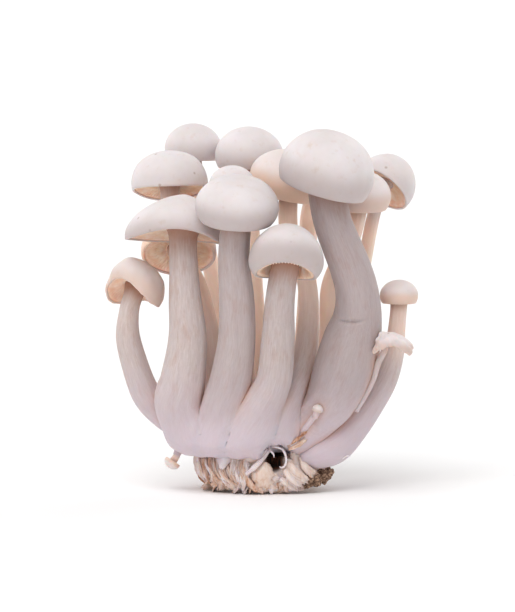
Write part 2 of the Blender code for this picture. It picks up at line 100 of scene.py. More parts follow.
# What sets single mushrooms apart. Stems that stay apart from the grown-together ones
LOOSE = ("left_small", "right_small", "right_torn", "pin_left", "pin_right")
# Creases across a stem's front: from x to x, at a height, their sag, width and depth
CREASES = {"right_large": (17.6, 25.5, 47.4, 0.5, 0.42, 0.85)}
# The shares of its way over which a crease starts and ends, and how far in front of Y it deepens
CREASE_START, CREASE_END, CREASE_FRONT = (0, 0.25), (0.6, 1.1), (12, 16)
# Skins with lumps of their own, as height by cap size and width
LUMPY = {"right_torn": (0.10, 1.5), "left_small": (0.04, 3.4)}
# Caps with a torn margin, by how far its tatters hang, and how wide a tatter is
TORN_MARGIN = {"right_torn": 1.1, "left_small": 0.35}
TATTER_WIDTH = 1.5
# Caps whose gills are shallower than the others', and caps with less painted grey shade at the margin, as
# shares
SHALLOW = {"far_right": 0.35}
LESS_MARGIN_SHADE = {"top_left_back": 0.3, "top_centre": 0.3, "upper_left": 0.3, "far_right": 0.4}
# Stems with painted grey shade, stems that their neighbours' painted orange tan shade doesn't reach and that
# keep little painted shade under the cap, and caps and stems given more of the peach painted as a warm glow
GREY_SHADED_STEMS = {"right_large": 0.45, "front_centre": 0.3, "front_low": 0.1}
PALE = ("right_torn", "pin_right", "far_right")
WARMER = {"centre_behind": (0.9, 0), "right_behind": (0.5, 0), "pin_left": (0.8, 0.9),
          "pin_right": (0.3, 0.15), "right_torn": (0.35, 0), "left_small": (0.45, 0.1),
          "right_small": (0.65, 0.6)}

# Below this height the stems flow into one another, over this soft distance at the lowest
FUSE_BELOW, FUSE_FULL = 28.0, 11.0
FUSE_SOFTNESS, FUSE_PASSES = 4.4, 4
# The least soft distance, the least slope a step is worked out from, and the longest step by softness
FUSE_LEAST, SLOPE_LEAST, STEP_MOST = 0.05, 0.15, 0.6
# How far the grown-together stems reach into each other, up to this height
MELT_DEPTH, MELT_BETWEEN = 1.4, (15.0, 30.0)
# The widest gap that a melted stem swells over, and the shares of its radius where it starts to
BRIDGE, SWELL_FROM = 2.6, (0.35, 0.85)
# The stems' lower ends: how far they reach down into the foot, and how far they round in over that height
SUNK = 1.6
ROLL_IN, ROLL_REACH = 2.4, 3.4
# Their lower edge's height over the strips and over the hollow, where it rises and falls again between x
# and x, in front of y; and the edge's waves, as height and width
EDGE_LOW, EDGE_HIGH = 9.9, 13.4
EDGE_RISE, EDGE_FALL, EDGE_FRONT = (-3.0, 0.2), (2.8, 9.5), (4, 10)
EDGE_WAVE, EDGE_WAVE_WIDTH = 0.5, 2.6

# Where the painted shade is. Orange tan: near another stem, fading over this distance, above this height,
# which
# is lower on the right. Grey: near a cap's margin, by the cap's height. Brown: close under a cap, by its
# radius
CLOSE_FADE, CLOSE_ABOVE, CLOSE_TILT = 0.9, (11, 26), 0.8
MARGIN_BAND, UNDER_BAND = (-0.15, 0.45), (-0.3, 0.5)
# Painted warm light, a peach glow for light through the flesh: inside the bunch, behind y, above and below
# these heights, but for its outer edge at the top. A stem's back keeps little of it
INSIDE_BEHIND, INSIDE_ABOVE, INSIDE_BELOW = (-11, 3), (16, 32), (73, 85)
MIDDLE_X, OUTER_EDGE, EDGE_ABOVE = -1, (20, 32), (66, 76)
STEM_BACK, BACK_LOSES = (-0.1, 0.9), 0.85
# The warm mushrooms' stems take the painted warm glow from this share of their length, the grey-shaded stems
# their painted grey shade above a height, and pale stems this share of the painted shade under the cap
WARM_FROM, GREY_ABOVE, PALE_UNDER = (0.62, 0.86), (14, 32), 0.2

# The foot's folds: the radius where their width is true, how far they lean, and where they start by height
FOLD_RADIUS, FOLD_LEAN, FOLDS_START = 15, 0.4, (0, 0.12)
# Its clouds of tone as middle and height, and as size, and the reach and soft edge of the painted shade in
# the hollow
FOOT_TONE, TONE_SIZE = 0.45, 2.6
HOLLOW_REACH, HOLLOW_FADE = 1.15, (0.5, 1.1)
# How far to the side of the foot a strip may start, by half its width
SIDE_MOST = 0.985
# The foot's outline at rising shares of its height: share, middle x and y, half its width and depth
FOOT_LEVELS = [
    (0.0, -1.5, -2.0, 12.0, 9.5),
    (0.14, -1.5, -2.0, 14.8, 12.0),
    (0.42, -2.0, -2.0, 16.6, 13.0),
    (0.74, -2.2, -1.5, 16.8, 13.6),
    (1.0, -2.5, -1.5, 15.3, 13.0),
]
FOOT_RIM = 9.9
FOOT_SIDES, FOOT_ROWS = 240, 40
DISH_HEIGHT, DISH_SHARE = 8.0, 0.72
RIM_DROP, DROP_BETWEEN = 0.46, (3.0, 13.0)
UNDERSIDE_RISE, RISE_BETWEEN = 3.4, (4.5, 14.5)
# Its folds, as (size around, size up, depth), all in millimetres
FOLDS = ((3.4, 11.0, 1.1), (1.1, 5.0, 0.35), (0.45, 1.8, 0.12))

# The hollow in the foot's front, painted near black as shade, and the shoulder beside it: middles and half
# sizes
HOLLOW_AT, HOLLOW_SIZE = (1.2, -15.2, 9.2), (2.7, 4.4, 3.0)
SHOULDER_AT, SHOULDER_SIZE = (4.8, -10.2, 8.0), (3.4, 3.0, 3.2)

# Torn strips on the foot's front, as (x, z, lift off the foot, width) down each. The tone runs from 0,
# lilac white, over 0.5, cream, to 1, orange brown. The cup curls the edges forward, and the lean turns
# the face sideways, in degrees
STRIPS = {
    "left_band": (0.15, 0.5, -10, [
        (-18.4, 11.2, 0.2, 2.6), (-18.6, 8, 0.5, 3.2), (-17.8, 4.8, 0.5, 3), (-16.2, 1.6, 0.2, 1.8)]),
    "left_ridge": (0.7, 0.2, 50, [
        (-16.6, 11.2, 0.5, 1.6), (-16.8, 8, 1.1, 2), (-16.2, 5, 1.1, 2), (-15, 1.4, 0.4, 1.4)]),
    "left_rib_a": (0.75, 0.4, 35, [
        (-15.4, 10.6, 0.4, 2), (-15.2, 7.4, 1.2, 2.2), (-13.6, 4.2, 1.4, 2.2), (-10.6, 1.2, 0.9, 1.8)]),
    "left_rib_b": (0.55, 0.4, 30, [
        (-14.4, 8.2, 0.6, 1.8), (-13.4, 5.4, 1.4, 2.2), (-11.4, 3, 1.5, 2), (-9, 1.6, 1, 1.4)]),
    "left_rib_c": (0.6, 0.3, 40, [
        (-12.9, 6.6, 1, 1.6), (-11.6, 4.6, 1.6, 2), (-9.4, 2.8, 1.6, 1.8), (-7.4, 2.2, 1, 1.2)]),
    "lilac_point": (0.0, -0.2, 0, [
        (-11.6, 11.4, 1.2, 4.6), (-11.6, 9.6, 1.9, 4.2), (-12, 7.8, 1.9, 2.6), (-12.3, 6.4, 1.4, 0.9)]),
    "brown_slit": (1.0, 0.8, 20, [
        (-9.2, 10.6, 0.4, 1.2), (-10, 8.6, 0.7, 1.6), (-11.2, 6.6, 0.9, 1.2)]),
    "pale_rib_a": (0.25, 0.5, -35, [
        (-9.6, 10.4, 0.8, 1.4), (-9.4, 8.2, 1.5, 1.8), (-9.6, 6, 1.5, 1.6), (-9.9, 4.4, 1, 1)]),
    "pale_rib_b": (0.35, 0.5, -40, [
        (-8.2, 9.8, 0.7, 1.2), (-8.2, 7.8, 1.4, 1.6), (-8.8, 5.6, 1.4, 1.4)]),
    "pale_rib_c": (0.6, 0.6, -30, [
        (-7.2, 9.2, 0.6, 1.2), (-7, 7.2, 1.3, 1.6), (-7.6, 5, 1.3, 1.2)]),
    "lilac_sheet": (0.2, 0.35, 5, [
        (-6.6, 8.8, 0.6, 2.6), (-7, 6.2, 1.2, 4.2), (-7.6, 3.8, 1.3, 4.6), (-8, 2, 0.7, 3.4)]),
    "cream_brow": (0.45, -0.3, -10, [
        (-7.4, 10.6, 0.8, 1.8), (-5.4, 10.4, 1.7, 3), (-3.2, 10.6, 1.9, 3), (-1.4, 11.4, 1.4, 1.6)]),
    "white_edge": (0.1, 0.3, 20, [
        (-0.6, 12, 1, 1), (-2, 10, 2.4, 1.4), (-3.8, 7.8, 2.9, 1.5), (-6, 5.6, 2.2, 1)]),
    "cream_flap": (0.58, -0.35, 0, [
        (-1.6, 8.8, 1.6, 3.2), (-1.8, 7, 2.4, 5.2), (-2, 4.8, 2.6, 7), (-1.6, 2.6, 2.1, 6.6),
        (-1.2, 0.8, 1.2, 4.2)]),
    "orange_lip": (0.85, -0.5, -25, [
        (-6, 5.2, 2, 0.8), (-5.2, 3.6, 2.6, 1.6), (-3.8, 1.9, 2.5, 1.8), (-2.2, 0.9, 1.9, 1)]),
    "lobe_fold": (0.3, -0.35, -10, [
        (6.4, 12.2, 0, 2), (7.2, 10.6, 0.4, 4.4), (8.4, 8.8, 0.7, 4.8), (10, 7.4, 0.6, 2.8)]),
    "tan_strand_a": (0.95, 0.3, 0, [
        (7.9, 17.6, 3.8, 0.5), (6.4, 16.1, 4.1, 0.9), (4.9, 14.6, 3.8, 0.9), (3.6, 13.2, 2.8, 0.5)]),
    "tan_strand_b": (0.7, 0.3, 10, [
        (8.6, 16, 3.5, 0.5), (7, 14.5, 3.7, 1.2), (5.4, 13.2, 3.3, 1.3), (4, 12.2, 2.4, 0.6)]),
    "right_strip_a": (0.4, 0.6, 15, [
        (4.4, 8.4, 0.8, 1.2), (5.6, 6.4, 2, 2.4), (7.4, 4.6, 2.4, 2.4), (9.2, 3.4, 1.6, 1.4)]),
    "right_strip_b": (0.5, 0.5, 15, [
        (7.4, 9.6, 0.8, 1), (8.2, 7.4, 1.8, 2), (9.8, 5.6, 2, 2.2), (11, 4.6, 1.4, 1.2)]),
    "right_strip_c": (0.35, 0.6, 10, [
        (3.4, 6.8, 1.4, 1.2), (4.8, 4.8, 2.2, 2.4), (6.8, 3.2, 2.2, 2.2), (8.6, 2.4, 1.4, 1.2)]),
    "right_strip_d": (0.2, 0.4, 5, [
        (2.4, 4.4, 1.4, 1.6), (4.6, 2.9, 1.8, 2.4), (7, 2.1, 1.6, 2.4), (9.6, 2.4, 1, 1.4)]),
    "right_strip_e": (0.6, 0.5, 20, [
        (9.4, 7, 0.9, 1), (10.4, 5.6, 1.6, 1.6), (11.6, 4.6, 1.6, 1.2)]),
}
STRIP_THICKNESS, STRIP_ROWS, STRIP_SIDES = 0.55, 34, 11
# How ragged a strip's edges are and how long a rag is, its ripple's height, and how low it reaches
RAGGED, RAG_SIZE, RIPPLE, STRIP_LOWEST = 0.35, 1.3, 0.16, 0.1
# How a strip's width changes along it, in front and behind
FRONT_TAPER, BACK_TAPER = (0.7, 1, 1, 0.6), (0.7, 1, 0.9, 0.5)
# The ranges of a strip's tone, cup and lean, in front and behind
FRONT_LOOK, BACK_LOOK = ((0.05, 0.8), (-0.2, 0.7), (-20, 60)), ((0, 1), (-0.3, 0.6), (-45, 45))
BACK_STRIPS = 34
# How wide the strips behind are, and round how many degrees of the foot they stand, from its right
BACK_WIDTHS, BACK_FROM, BACK_ROUND = (1.6, 3.6), -15, 210
# More torn strips on the foot's front, as how many, and the ranges of x, upper end, lower end, width,
# and drift to the right on the way down
FRONT_STRIPS = {
    "thin_rib": (18, (-17.4, -6.4), (8.6, 11.0), (0.6, 3.4), (1.0, 1.7), (0.6, 4.4)),
    "tatter": (18, (-16.0, 6.0), (2.6, 5.2), (0.15, 0.9), (1.6, 3.2), (-1.2, 2.4)),
}
# Thin, nearly white curled strips at the hollow, as (x, y, z, radius)
CURL_ROWS, CURL_SIDES, CURL_TONE = 40, 10, 0.05
CURLS = {
    "long_curl": [
        (2.6, -13.6, 12.6, 0.34), (3.3, -15.2, 12.2, 0.42), (4, -16, 11, 0.45), (4.3, -16.3, 9.4, 0.42),
        (3.9, -16.4, 7.9, 0.38), (3.1, -16.3, 7.4, 0.34), (2.5, -16, 7.6, 0.2)],
    "short_curl": [
        (-0.4, -14.6, 12.4, 0.4), (0.2, -16, 11.8, 0.4), (0.9, -16.4, 11, 0.34), (1, -16.2, 10.2, 0.16)],
    "side_curl": [
        (18, -9.8, 8.3, 0.25), (19.4, -10.4, 9.2, 0.32), (20.6, -10.4, 9.9, 0.32), (21.6, -10, 9.7, 0.16)],
    "top_curl": [
        (0.4, -13.8, 12.8, 0.4), (1.2, -15.4, 12.9, 0.42), (2.4, -15.8, 12.7, 0.42), (3, -15.2, 12.2, 0.3)],
}

# The dark crust: lumps of growing substrate under the foot's right, as x, y, z and radius
CRUST_LUMPS = [
    (12.2, -10.0, 3.3, 2.1), (10.2, -11.6, 3.1, 1.7), (14.2, -8.6, 4.2, 1.9), (12.6, -11.6, 3.5, 1.6),
    (15.6, -7.8, 5.2, 1.4), (14.8, -10.0, 4.2, 1.3), (8.8, -12.6, 2.3, 1.2),
]
CRUMBS = 90
# A lump's core and how far out its crumbs sit, by its radius; the crumbs' sizes, stretch and knobs
CORE, CRUMBS_OUT, CRUMB_SIZES, CRUMB_STRETCH = 0.86, 0.85, (0.25, 0.6), (0.7, 1.3)
KNOB_HEIGHT, KNOBS_ACROSS = 0.35, 1.7

# How high the finest relief of a surface stands at full strength, in metres
RELIEF_HEIGHT = 0.4 * MM


@dataclass
class Mushroom:
    """One mushroom. Its cap's widest plane is centred on cap_at, and its stem runs from the foot up."""

    name: str
    cap_at: tuple
    radius: float
    height: float
    # The way the cap's top points
    axis: tuple
    # Degrees from the apex round to the margin: over 90 the margin rolls inward
    curl: float
    # (x, y, z, radius) from the foot to just below the cap
    stem: list
    # How far the dome is drawn to a cone, from 0 to 1
    cone: float = 0.0
    # How far the apex and the stem are off the margin's centre, along the cap's own right and away
    shift: tuple = (0, 0)
    # The margin's waves, as (lobes, height, degrees of the first crest)
    waves: tuple = ()
    gilled: bool = True


MUSHROOMS = [
    Mushroom("front_left", (-25.7, -9, 69.8), 13.6, 11.0, (0.04, 0.20, 1), 97, [
        (-17.3, -5.5, 12.3, 4.4), (-19.3, -6.6, 14.9, 5.5), (-22.5, -8, 18.2, 6.3), (-24.5, -11, 25.2, 6.6),
        (-23.4, -13, 30.8, 6.1), (-22.1, -13.5, 41.7, 5.2), (-22.8, -13, 52.4, 4.4), (-23.2, -11, 62.3, 3.8),
    ], cone=0.2, shift=(2.4, 0), waves=((2, 1.0, 90), (3, 0.4, 40))),
    Mushroom("left_behind", (-24.8, 13.5, 63.4), 10.5, 8.5, (0.0, 0.78, 1), 100, [
        (-13.0, 2, 8.8, 2.8), (-14.5, 0, 19.3, 3.0), (-15.6, -2, 34.9, 2.8), (-17.0, 0, 45.7, 2.6),
        (-20.0, 5, 55.3, 2.6),
    ]),
    Mushroom("upper_left", (-27.2, 12, 81.3), 10.7, 9.8, (-0.03, 0.28, 1), 100, [
        (-11.0, 6.5, 8.8, 2.9), (-13.5, 11, 19.3, 3.1), (-18.0, 19, 37.3, 2.8), (-22.0, 25.5, 49.3, 2.6),
        (-25.2, 27.3, 59.3, 2.5), (-26.8, 25, 67.3, 2.5), (-27.2, 19, 74.3, 2.6),
    ], waves=((2, 0.6, 0),)),
    Mushroom("top_left_back", (-21.0, 31.5, 90.0), 8.0, 7.1, (0.0, 0.05, 1), 118, [
        (-6.0, 9, 8.8, 2.8), (-8.5, 13, 19.3, 2.8), (-12.0, 20, 37.3, 2.5), (-16.0, 26.5, 57.3, 2.3),
        (-19.5, 30.5, 77.3, 2.2),
    ]),
    Mushroom("top_centre", (-5.7, 22.5, 88.8), 9.5, 8.0, (0.0, 0.0, 1), 115, [
        (-1.0, 6, 8.8, 2.9), (-2.5, 10, 21.3, 3.0), (-4.0, 15, 44.3, 2.7), (-5.5, 20, 69.3, 2.6),
    ]),
    Mushroom("centre_hidden", (-10.2, -4.5, 82.5), 6.4, 5.5, (0.0, 0.0, 1), 115, [
        (-5.0, 0, 8.8, 2.6), (-6.5, 0, 19.3, 2.7), (-7.0, 0, 44.3, 2.4), (-9.0, -3, 65.3, 2.2),
    ]),
    Mushroom("front_centre", (-8.8, -23, 78.3), 11.5, 8.4, (0.05, -0.21, 1), 122, [
        (-12.2, -10, 10.9, 3.8), (-13.0, -10.5, 13.1, 4.4), (-13.6, -12, 17.0, 5.1),
        (-12.6, -15, 24.0, 5.6), (-10.5, -17, 30.9, 5.6), (-8.9, -18.5, 41.9, 5.0),
        (-8.9, -19.5, 52.8, 4.7), (-9.7, -20.5, 64.3, 4.2),
    ]),
    Mushroom("centre_behind", (5.4, 6, 83.4), 11.3, 8.2, (0.20, -0.10, 1), 126, [
        (-1.4, -11.4, 11.8, 2.8), (-0.7, -12.0, 14.0, 3.6), (0.9, -13.0, 18.4, 4.5), (4.1, -12.4, 25.0, 4.2),
        (8.3, -6.4, 32.7, 3.6), (10.3, -2.6, 43.2, 3.0), (9.8, 1, 56.5, 2.6), (5.2, 4, 68.3, 2.6),
    ]),
    Mushroom("right_large", (15.1, -16, 86.9), 13.2, 11.5, (0.28, -0.14, 1), 115, [
        (4.6, -7.6, 10.8, 2.4), (7.3, -8.4, 13.9, 3.1), (11.4, -9.2, 18.3, 4.9), (16.2, -10.3, 24.8, 6.8),
        (19.8, -11.6, 33.3, 8.1), (22.1, -13, 41.4, 7.8), (23.5, -14, 48.2, 6.5), (23.2, -15, 55.0, 5.8),
        (21.3, -15.5, 61.8, 5.5), (16.5, -16, 74.3, 5.1),
    ]),
    Mushroom("right_behind", (24.3, 5, 79.0), 8.6, 7.0, (0.05, -0.14, 1), 118, [
        (9.0, 2.5, 8.3, 2.8), (11.5, 3.5, 19.3, 2.9), (14.5, 4, 31.3, 2.7), (15.9, 4, 41.3, 2.6),
        (16.2, 4.5, 53.3, 2.6), (19.0, 5, 61.3, 2.5), (22.3, 5, 68.3, 2.4),
    ]),
    Mushroom("far_right", (31.2, 16.5, 81.1), 8.5, 8.9, (0.80, 0.70, 1), 100, [
        (11.0, 8, 8.3, 2.8), (14.0, 10, 15.3, 2.9), (20.0, 12, 33.3, 2.5), (23.5, 14, 49.3, 2.1),
        (25.6, 15, 60.0, 1.9), (28.0, 15.5, 72.3, 1.8),
    ]),
    Mushroom("front_low", (4.3, -26.9, 65.2), 10.3, 8.6, (0.06, 0.38, 1), 124, [
        (-7.4, -13, 10.9, 3.6), (-7.8, -13.3, 12.9, 4.0), (-7.3, -14.5, 16.3, 4.7),
        (-3.6, -17, 22.8, 5.3), (0.8, -19, 31.1, 4.8), (2.0, -21, 42.0, 4.5), (2.4, -23, 51.3, 4.0),
        (3.2, -25, 58.3, 3.8),
    ], waves=((2, 1.2, 90),)),
    Mushroom("left_small", (-36.2, -6, 54.7), 8.2, 7.9, (0.36, 0.42, 1), 106, [
        (-17.8, 0.6, 10.9, 2.6), (-23.0, 0, 15.5, 3.2), (-28.4, -1.5, 19.5, 3.5),
        (-32.4, -3, 24.3, 4.0), (-35.1, -4, 29.8, 3.8), (-38.2, -5, 40.8, 3.3), (-38.0, -5.5, 48.4, 2.7),
    ], waves=((2, 2.3, 235),)),
    Mushroom("right_small", (34.7, -4, 52.7), 5.3, 4.4, (0.0, 0.0, 1), 118, [
        (8.1, -11.0, 9.2, 2.2), (12.4, -10.1, 10.2, 3.9), (17.1, -7.8, 12.3, 4.8), (22.2, -5.0, 17.5, 4.5),
        (27.0, -4, 23.9, 4.0), (30.8, -4, 29.8, 3.4), (33.2, -4, 36.6, 2.8), (34.2, -4, 44.8, 2.3),
    ]),
    Mushroom("right_torn", (32.8, -17.5, 40.7), 5.5, 3.3, (0.1, 0.0, 1), 112, [
        (23.0, -10.8, 22.2, 0.8), (25.4, -12.6, 26.4, 0.8), (27.6, -14.4, 31.0, 0.8),
        (28.9, -15.8, 35.6, 0.9),
    ], shift=(-2.2, 0), waves=((2, 0.8, 100), (3, 0.8, 30))),
    Mushroom("back_hidden", (12.5, 27.5, 81.3), 7.5, 6.0, (0.0, 0.05, 1), 110, [
        (5.0, 8, 8.8, 2.8), (7.0, 10, 19.3, 2.8), (8.8, 13, 34.3, 2.6), (10.0, 17, 49.3, 2.5),
        (10.4, 21, 61.3, 2.4), (10.6, 25, 71.3, 2.4),
    ]),
    Mushroom("pin_right", (12.7, -16.9, 23.1), 1.5, 1.4, (0.35, -0.1, 1), 110, [
        (6.9, -13.0, 14.6, 0.8), (9.4, -14.7, 17.9, 0.8), (11.9, -16.3, 21.3, 0.8),
    ], gilled=False),
    Mushroom("pin_left", (-26.4, -4.6, 7.5), 2.3, 1.8, (-0.60, -0.15, -0.9), 105, [
        (-23.9, -3.4, 13.2, 1.5), (-24.5, -3.9, 11.2, 1.3), (-25.3, -4.3, 9.3, 0.9),
    ], gilled=False),
]


def unit(vectors):
    """A vector, or each row of several, at length 1."""
    vectors = np.array(vectors, float)
    return vectors / np.maximum(np.linalg.norm(vectors, axis=-1, keepdims=True), 1e-9)


def ease(value, start, end):
    """How far a value or array has come from start to end, from 0 to 1, slow at both ends."""
    share = np.clip((value - start) / (end - start), 0, 1)
    return share ** 2 * (3 - 2 * share)


def lumps(points, size, seed):
    """A smooth random height from -1 to 1 at each point, with lumps of the given size."""
    offset = Vector((seed * 17.3, seed * 5.1, -seed * 9.7))
    return np.array([noise.noise(Vector(point) / size + offset) for point in points])


def turn(sides):
    """The angles of so many points, evenly round a ring."""
    return np.arange(sides) * 2 * math.pi / sides


def cap_axes(mushroom):
    """The cap's own right, away and up, as three unit vectors."""
    up = unit(mushroom.axis)
    right = unit(np.array([1, 0, 0]) - up[0] * up)
    return right, np.cross(up, right), up


def junction(mushroom):
    """The point where the stem's middle meets the flesh of the cap."""
    local = np.array([*mushroom.shift, ROOF_HEIGHT * mushroom.height])
    return np.array(mushroom.cap_at) + local @ np.array(cap_axes(mushroom))


def smooth_path(points, step=None, count=None):
    """Evenly spaced rows on a smooth curve through the points, which may carry a radius."""
    known = np.array(points, float)
    known = np.vstack([2 * known[0] - known[1], known, 2 * known[-1] - known[-2]])
    fine = []
    for before, start, end, after in zip(known, known[1:], known[2:], known[3:]):
        for t in np.arange(CURVE_STEPS) / CURVE_STEPS:
            square = (2 * before - 5 * start + 4 * end - after) * t ** 2
            cube = (3 * start - before - 3 * end + after) * t ** 3
            fine.append(0.5 * (2 * start + (end - before) * t + square + cube))
    fine = np.array(fine + [known[-2]])
    along = np.append(0, np.cumsum(np.linalg.norm(np.diff(fine[:, :3], axis=0), axis=1)))
    count = count or max(4, round(along[-1] / step) + 1)
    at = np.linspace(0, along[-1], count)
    return np.column_stack([np.interp(at, along, column) for column in fine.T])


def stem_points(mushroom):
    """The stem's points, with one more in the foot and two that bring it square into the cap."""
    up = cap_axes(mushroom)[2]
    top = junction(mushroom)
    radius = mushroom.stem[-1][3]
    first, second = np.array(mushroom.stem[0]), np.array(mushroom.stem[1])
    sunk = []
    if mushroom.name not in LOOSE:
        sunk = [(*(first[:3] - SUNK * unit(second[:3] - first[:3])), first[3])]
    return [*sunk, *mushroom.stem, (*(top - APPROACH * up), radius), (*top, FLARE * radius)]


PATHS = {m.name: smooth_path(stem_points(m), count=PATH_ROWS) for m in MUSHROOMS}


def nearest_rows(name, points):
    """For each point, the row of the named stem's path that it is nearest to."""
    path = PATHS[name]
    gaps = ((points[:, None] - path[None, :, :3]) ** 2).sum(axis=2)
    return path[gaps.argmin(axis=1)]


def neighbours(own_name, points, within):
    """The names of the other mushrooms whose stems come near the points."""
    low, high = points.min(axis=0) - within, points.max(axis=0) + within
    for name, path in PATHS.items():
        if name != own_name and ((path[:, :3] > low) & (path[:, :3] < high)).all(axis=1).any():
            yield name


def pressed_stem(points, own_name):
    """Flatten a stem where neighbours lean on it: each pair shares one face, half a gap off each.

    Low down, where the stems melt together, each swells over to the shared face instead.
    """
    for name in neighbours(own_name, points, PRESS_WITHIN):
        own, other = nearest_rows(own_name, points), nearest_rows(name, points)
        toward = other[:, :3] - own[:, :3]
        distance = np.linalg.norm(toward, axis=1)
        normal = toward / distance[:, None]
        plane = (distance ** 2 + own[:, 3] ** 2 - other[:, 3] ** 2) / (2 * distance) - GAP / 2
        apart = own_name in LOOSE or name in LOOSE
        melt = (not apart) * (1 - ease(points[:, 2], *MELT_BETWEEN))
        reach = ((points - own[:, :3]) * normal).sum(axis=1)
        gap = plane + MELT_DEPTH * melt - reach
        swell = melt * ease(reach / own[:, 3], *SWELL_FROM) * (1 - ease(gap, BRIDGE, 2 * BRIDGE))
        points = points + (np.minimum(gap, 0) + swell * np.clip(gap, 0, BRIDGE))[:, None] * normal
    return points


def fused(points, own_name):
    """Fill the grooves between the stems' lower ends, where they grew into one mass."""
    low = points[:, 2] < FUSE_BELOW
    if not low.any() or own_name in LOOSE:
        return points
    moved = points[low]
    softness = FUSE_LEAST + FUSE_SOFTNESS * ease(-moved[:, 2], -FUSE_BELOW, -FUSE_FULL)
    near = [own_name, *(name for name in neighbours(own_name, moved, FUSE_WITHIN) if name not in LOOSE)]
    for _ in range(FUSE_PASSES):
        rows = [nearest_rows(name, moved) for name in near]
        away = np.array([moved - row[:, :3] for row in rows])
        length = np.linalg.norm(away, axis=2)
        depth = length - np.array([row[:, 3] for row in rows])
        weight = np.exp(-(depth - depth.min(axis=0)) / softness)
        total = weight.sum(axis=0)
        surface = depth.min(axis=0) - softness * np.log(total)
        slope = (weight[..., None] * away / length[..., None]).sum(axis=0) / total[:, None]
        steep = np.maximum((slope ** 2).sum(axis=1), SLOPE_LEAST)
        step = np.clip(-surface / steep, 0, softness * STEP_MOST)
        moved = moved + step[:, None] * slope * LEVEL
    points[low] = moved
    return points


def pressed_cap(points, own_name):
    """Push a cap's points out of the other mushrooms' stems."""
    for name in neighbours(own_name, points, CAP_WITHIN):
        other = nearest_rows(name, points)
        outward = points - other[:, :3]
        distance = np.linalg.norm(outward, axis=1)
        inside = np.maximum(other[:, 3] + CAP_CLEARANCE - distance, 0)
        points = points + (inside / distance)[:, None] * outward
    return points


def stem_skin(mushroom, seed):
    """Rings of the stem from its foot up to the cap, and where each point was on the straight fibres."""
    step = CREASED_STEP if mushroom.name in CREASES else RING_STEP
    rows = smooth_path(stem_points(mushroom), step=step)
    tangents = np.gradient(rows[:, :3], axis=0)
    right, _, up = cap_axes(mushroom)
    tangents[-1] = up
    around = turn(STEM_SIDES)
    draw = np.random.RandomState(seed)
    phases = draw.uniform(0, 2 * math.pi, len(FLUTES))
    drifts = draw.uniform(-FLUTE_DRIFT, FLUTE_DRIFT, len(FLUTES))
    rings, grown = [], []
    for at, (row, tangent) in enumerate(zip(rows[::-1], tangents[::-1])):
        tangent = unit(tangent)
        right = unit(right - (right @ tangent) * tangent)
        away = np.cross(tangent, right)
        along = at * step
        flutes = sum(a * np.cos(k * around + p + k * d * along)
                     for (k, a), p, d in zip(FLUTES, phases, drifts))
        radius = row[3] * (1 + flutes)
        circle = np.outer(np.cos(around), right) + np.outer(np.sin(around), away)
        rings.append(row[:3] + radius[:, None] * circle)
        grown.append(np.column_stack([row[3] * np.cos(around), row[3] * np.sin(around),
                                      np.full(STEM_SIDES, along)]))
    shape = np.array(rings[::-1])
    flat = fused(pressed_stem(shape.reshape(-1, 3), mushroom.name), mushroom.name)
    if mushroom.name not in LOOSE:
        flat = rolled_in(flat)
    if mushroom.name in CREASES:
        flat = creased(flat, *CREASES[mushroom.name])
    return list(flat.reshape(shape.shape)), grown[::-1]


def rolled_in(points):
    """Round the lower edge of the grown-together stems in toward the foot's middle."""
    over_hollow = ease(points[:, 0], *EDGE_RISE) * (1 - ease(points[:, 0], *EDGE_FALL))
    over_hollow *= ease(-points[:, 1], *EDGE_FRONT)
    low = EDGE_LOW + (EDGE_HIGH - EDGE_LOW) * over_hollow
    low += EDGE_WAVE * lumps(points * LEVEL, EDGE_WAVE_WIDTH, 5)
    points[:, 2] = np.maximum(points[:, 2], low)
    share = np.clip((low + ROLL_REACH - points[:, 2]) / ROLL_REACH, 0, 1)
    inward = unit((np.array([*FOOT_LEVELS[-1][1:3], 0]) - points) * LEVEL)
    return points + (ROLL_IN * (1 - np.sqrt(1 - share ** 2)))[:, None] * inward


def creased(points, left, right, height, sag, width, depth):
    """Press a crosswise crease into the front of a stem, between two places and at a height."""
    share = (points[:, 0] - left) / (right - left)
    line = height - sag * np.sin(math.pi * np.clip(share, 0, 1))
    near = np.exp(-((points[:, 2] - line) / width) ** 2)
    near *= ease(share, *CREASE_START) * (1 - ease(share, *CREASE_END))
    front = ease(-points[:, 1], *CREASE_FRONT)
    return points + (depth * near * front)[:, None] * (0, 1, 0)


def cap_ring(mushroom, radius, heights, sides):
    """One ring of the cap, waved toward its margin."""
    around = turn(sides)
    reach = radius / mushroom.radius
    heights = np.zeros(sides) + heights
    for lobes, crest, first in mushroom.waves:
        heights += crest * reach ** 2 * np.cos(lobes * (around - math.radians(first)))
    edge = np.column_stack([np.cos(around), np.sin(around), 0 * around]) * mushroom.radius
    heights += TORN_MARGIN.get(mushroom.name, 0) * reach ** 4 * lumps(edge, TATTER_WIDTH, 8)
    right, away = np.array(mushroom.shift) * (1 - reach)
    local = np.column_stack([right + radius * np.cos(around), away + radius * np.sin(around), heights])
    return np.array(mushroom.cap_at) + local @ np.array(cap_axes(mushroom))


def dome(mushroom, degrees):
    """Radius and height of the cap's skin, so many degrees round from the apex."""
    angle = math.radians(degrees)
    radius = mushroom.radius * math.sin(angle)
    height = mushroom.height * math.cos(angle)
    if degrees < 90:
        cone = mushroom.height * (1 - radius / mushroom.radius)
        height += mushroom.cone * (cone - height)
    return radius, height


def gill_blades(share, count):
    """How far each point of a gill ring, a share of the way from stem to margin, hangs down: four a blade."""
    blade = np.tile([0.0, 1.0, 1.0, 0.0], count)
    short = np.repeat(np.arange(count) % 2, 4)
    ends = 1 - ease(share, *BLADES_END)
    return blade * np.where(short, ease(share, *SHORT_FROM) * ends, ease(share, *LONG_FROM) * ends)


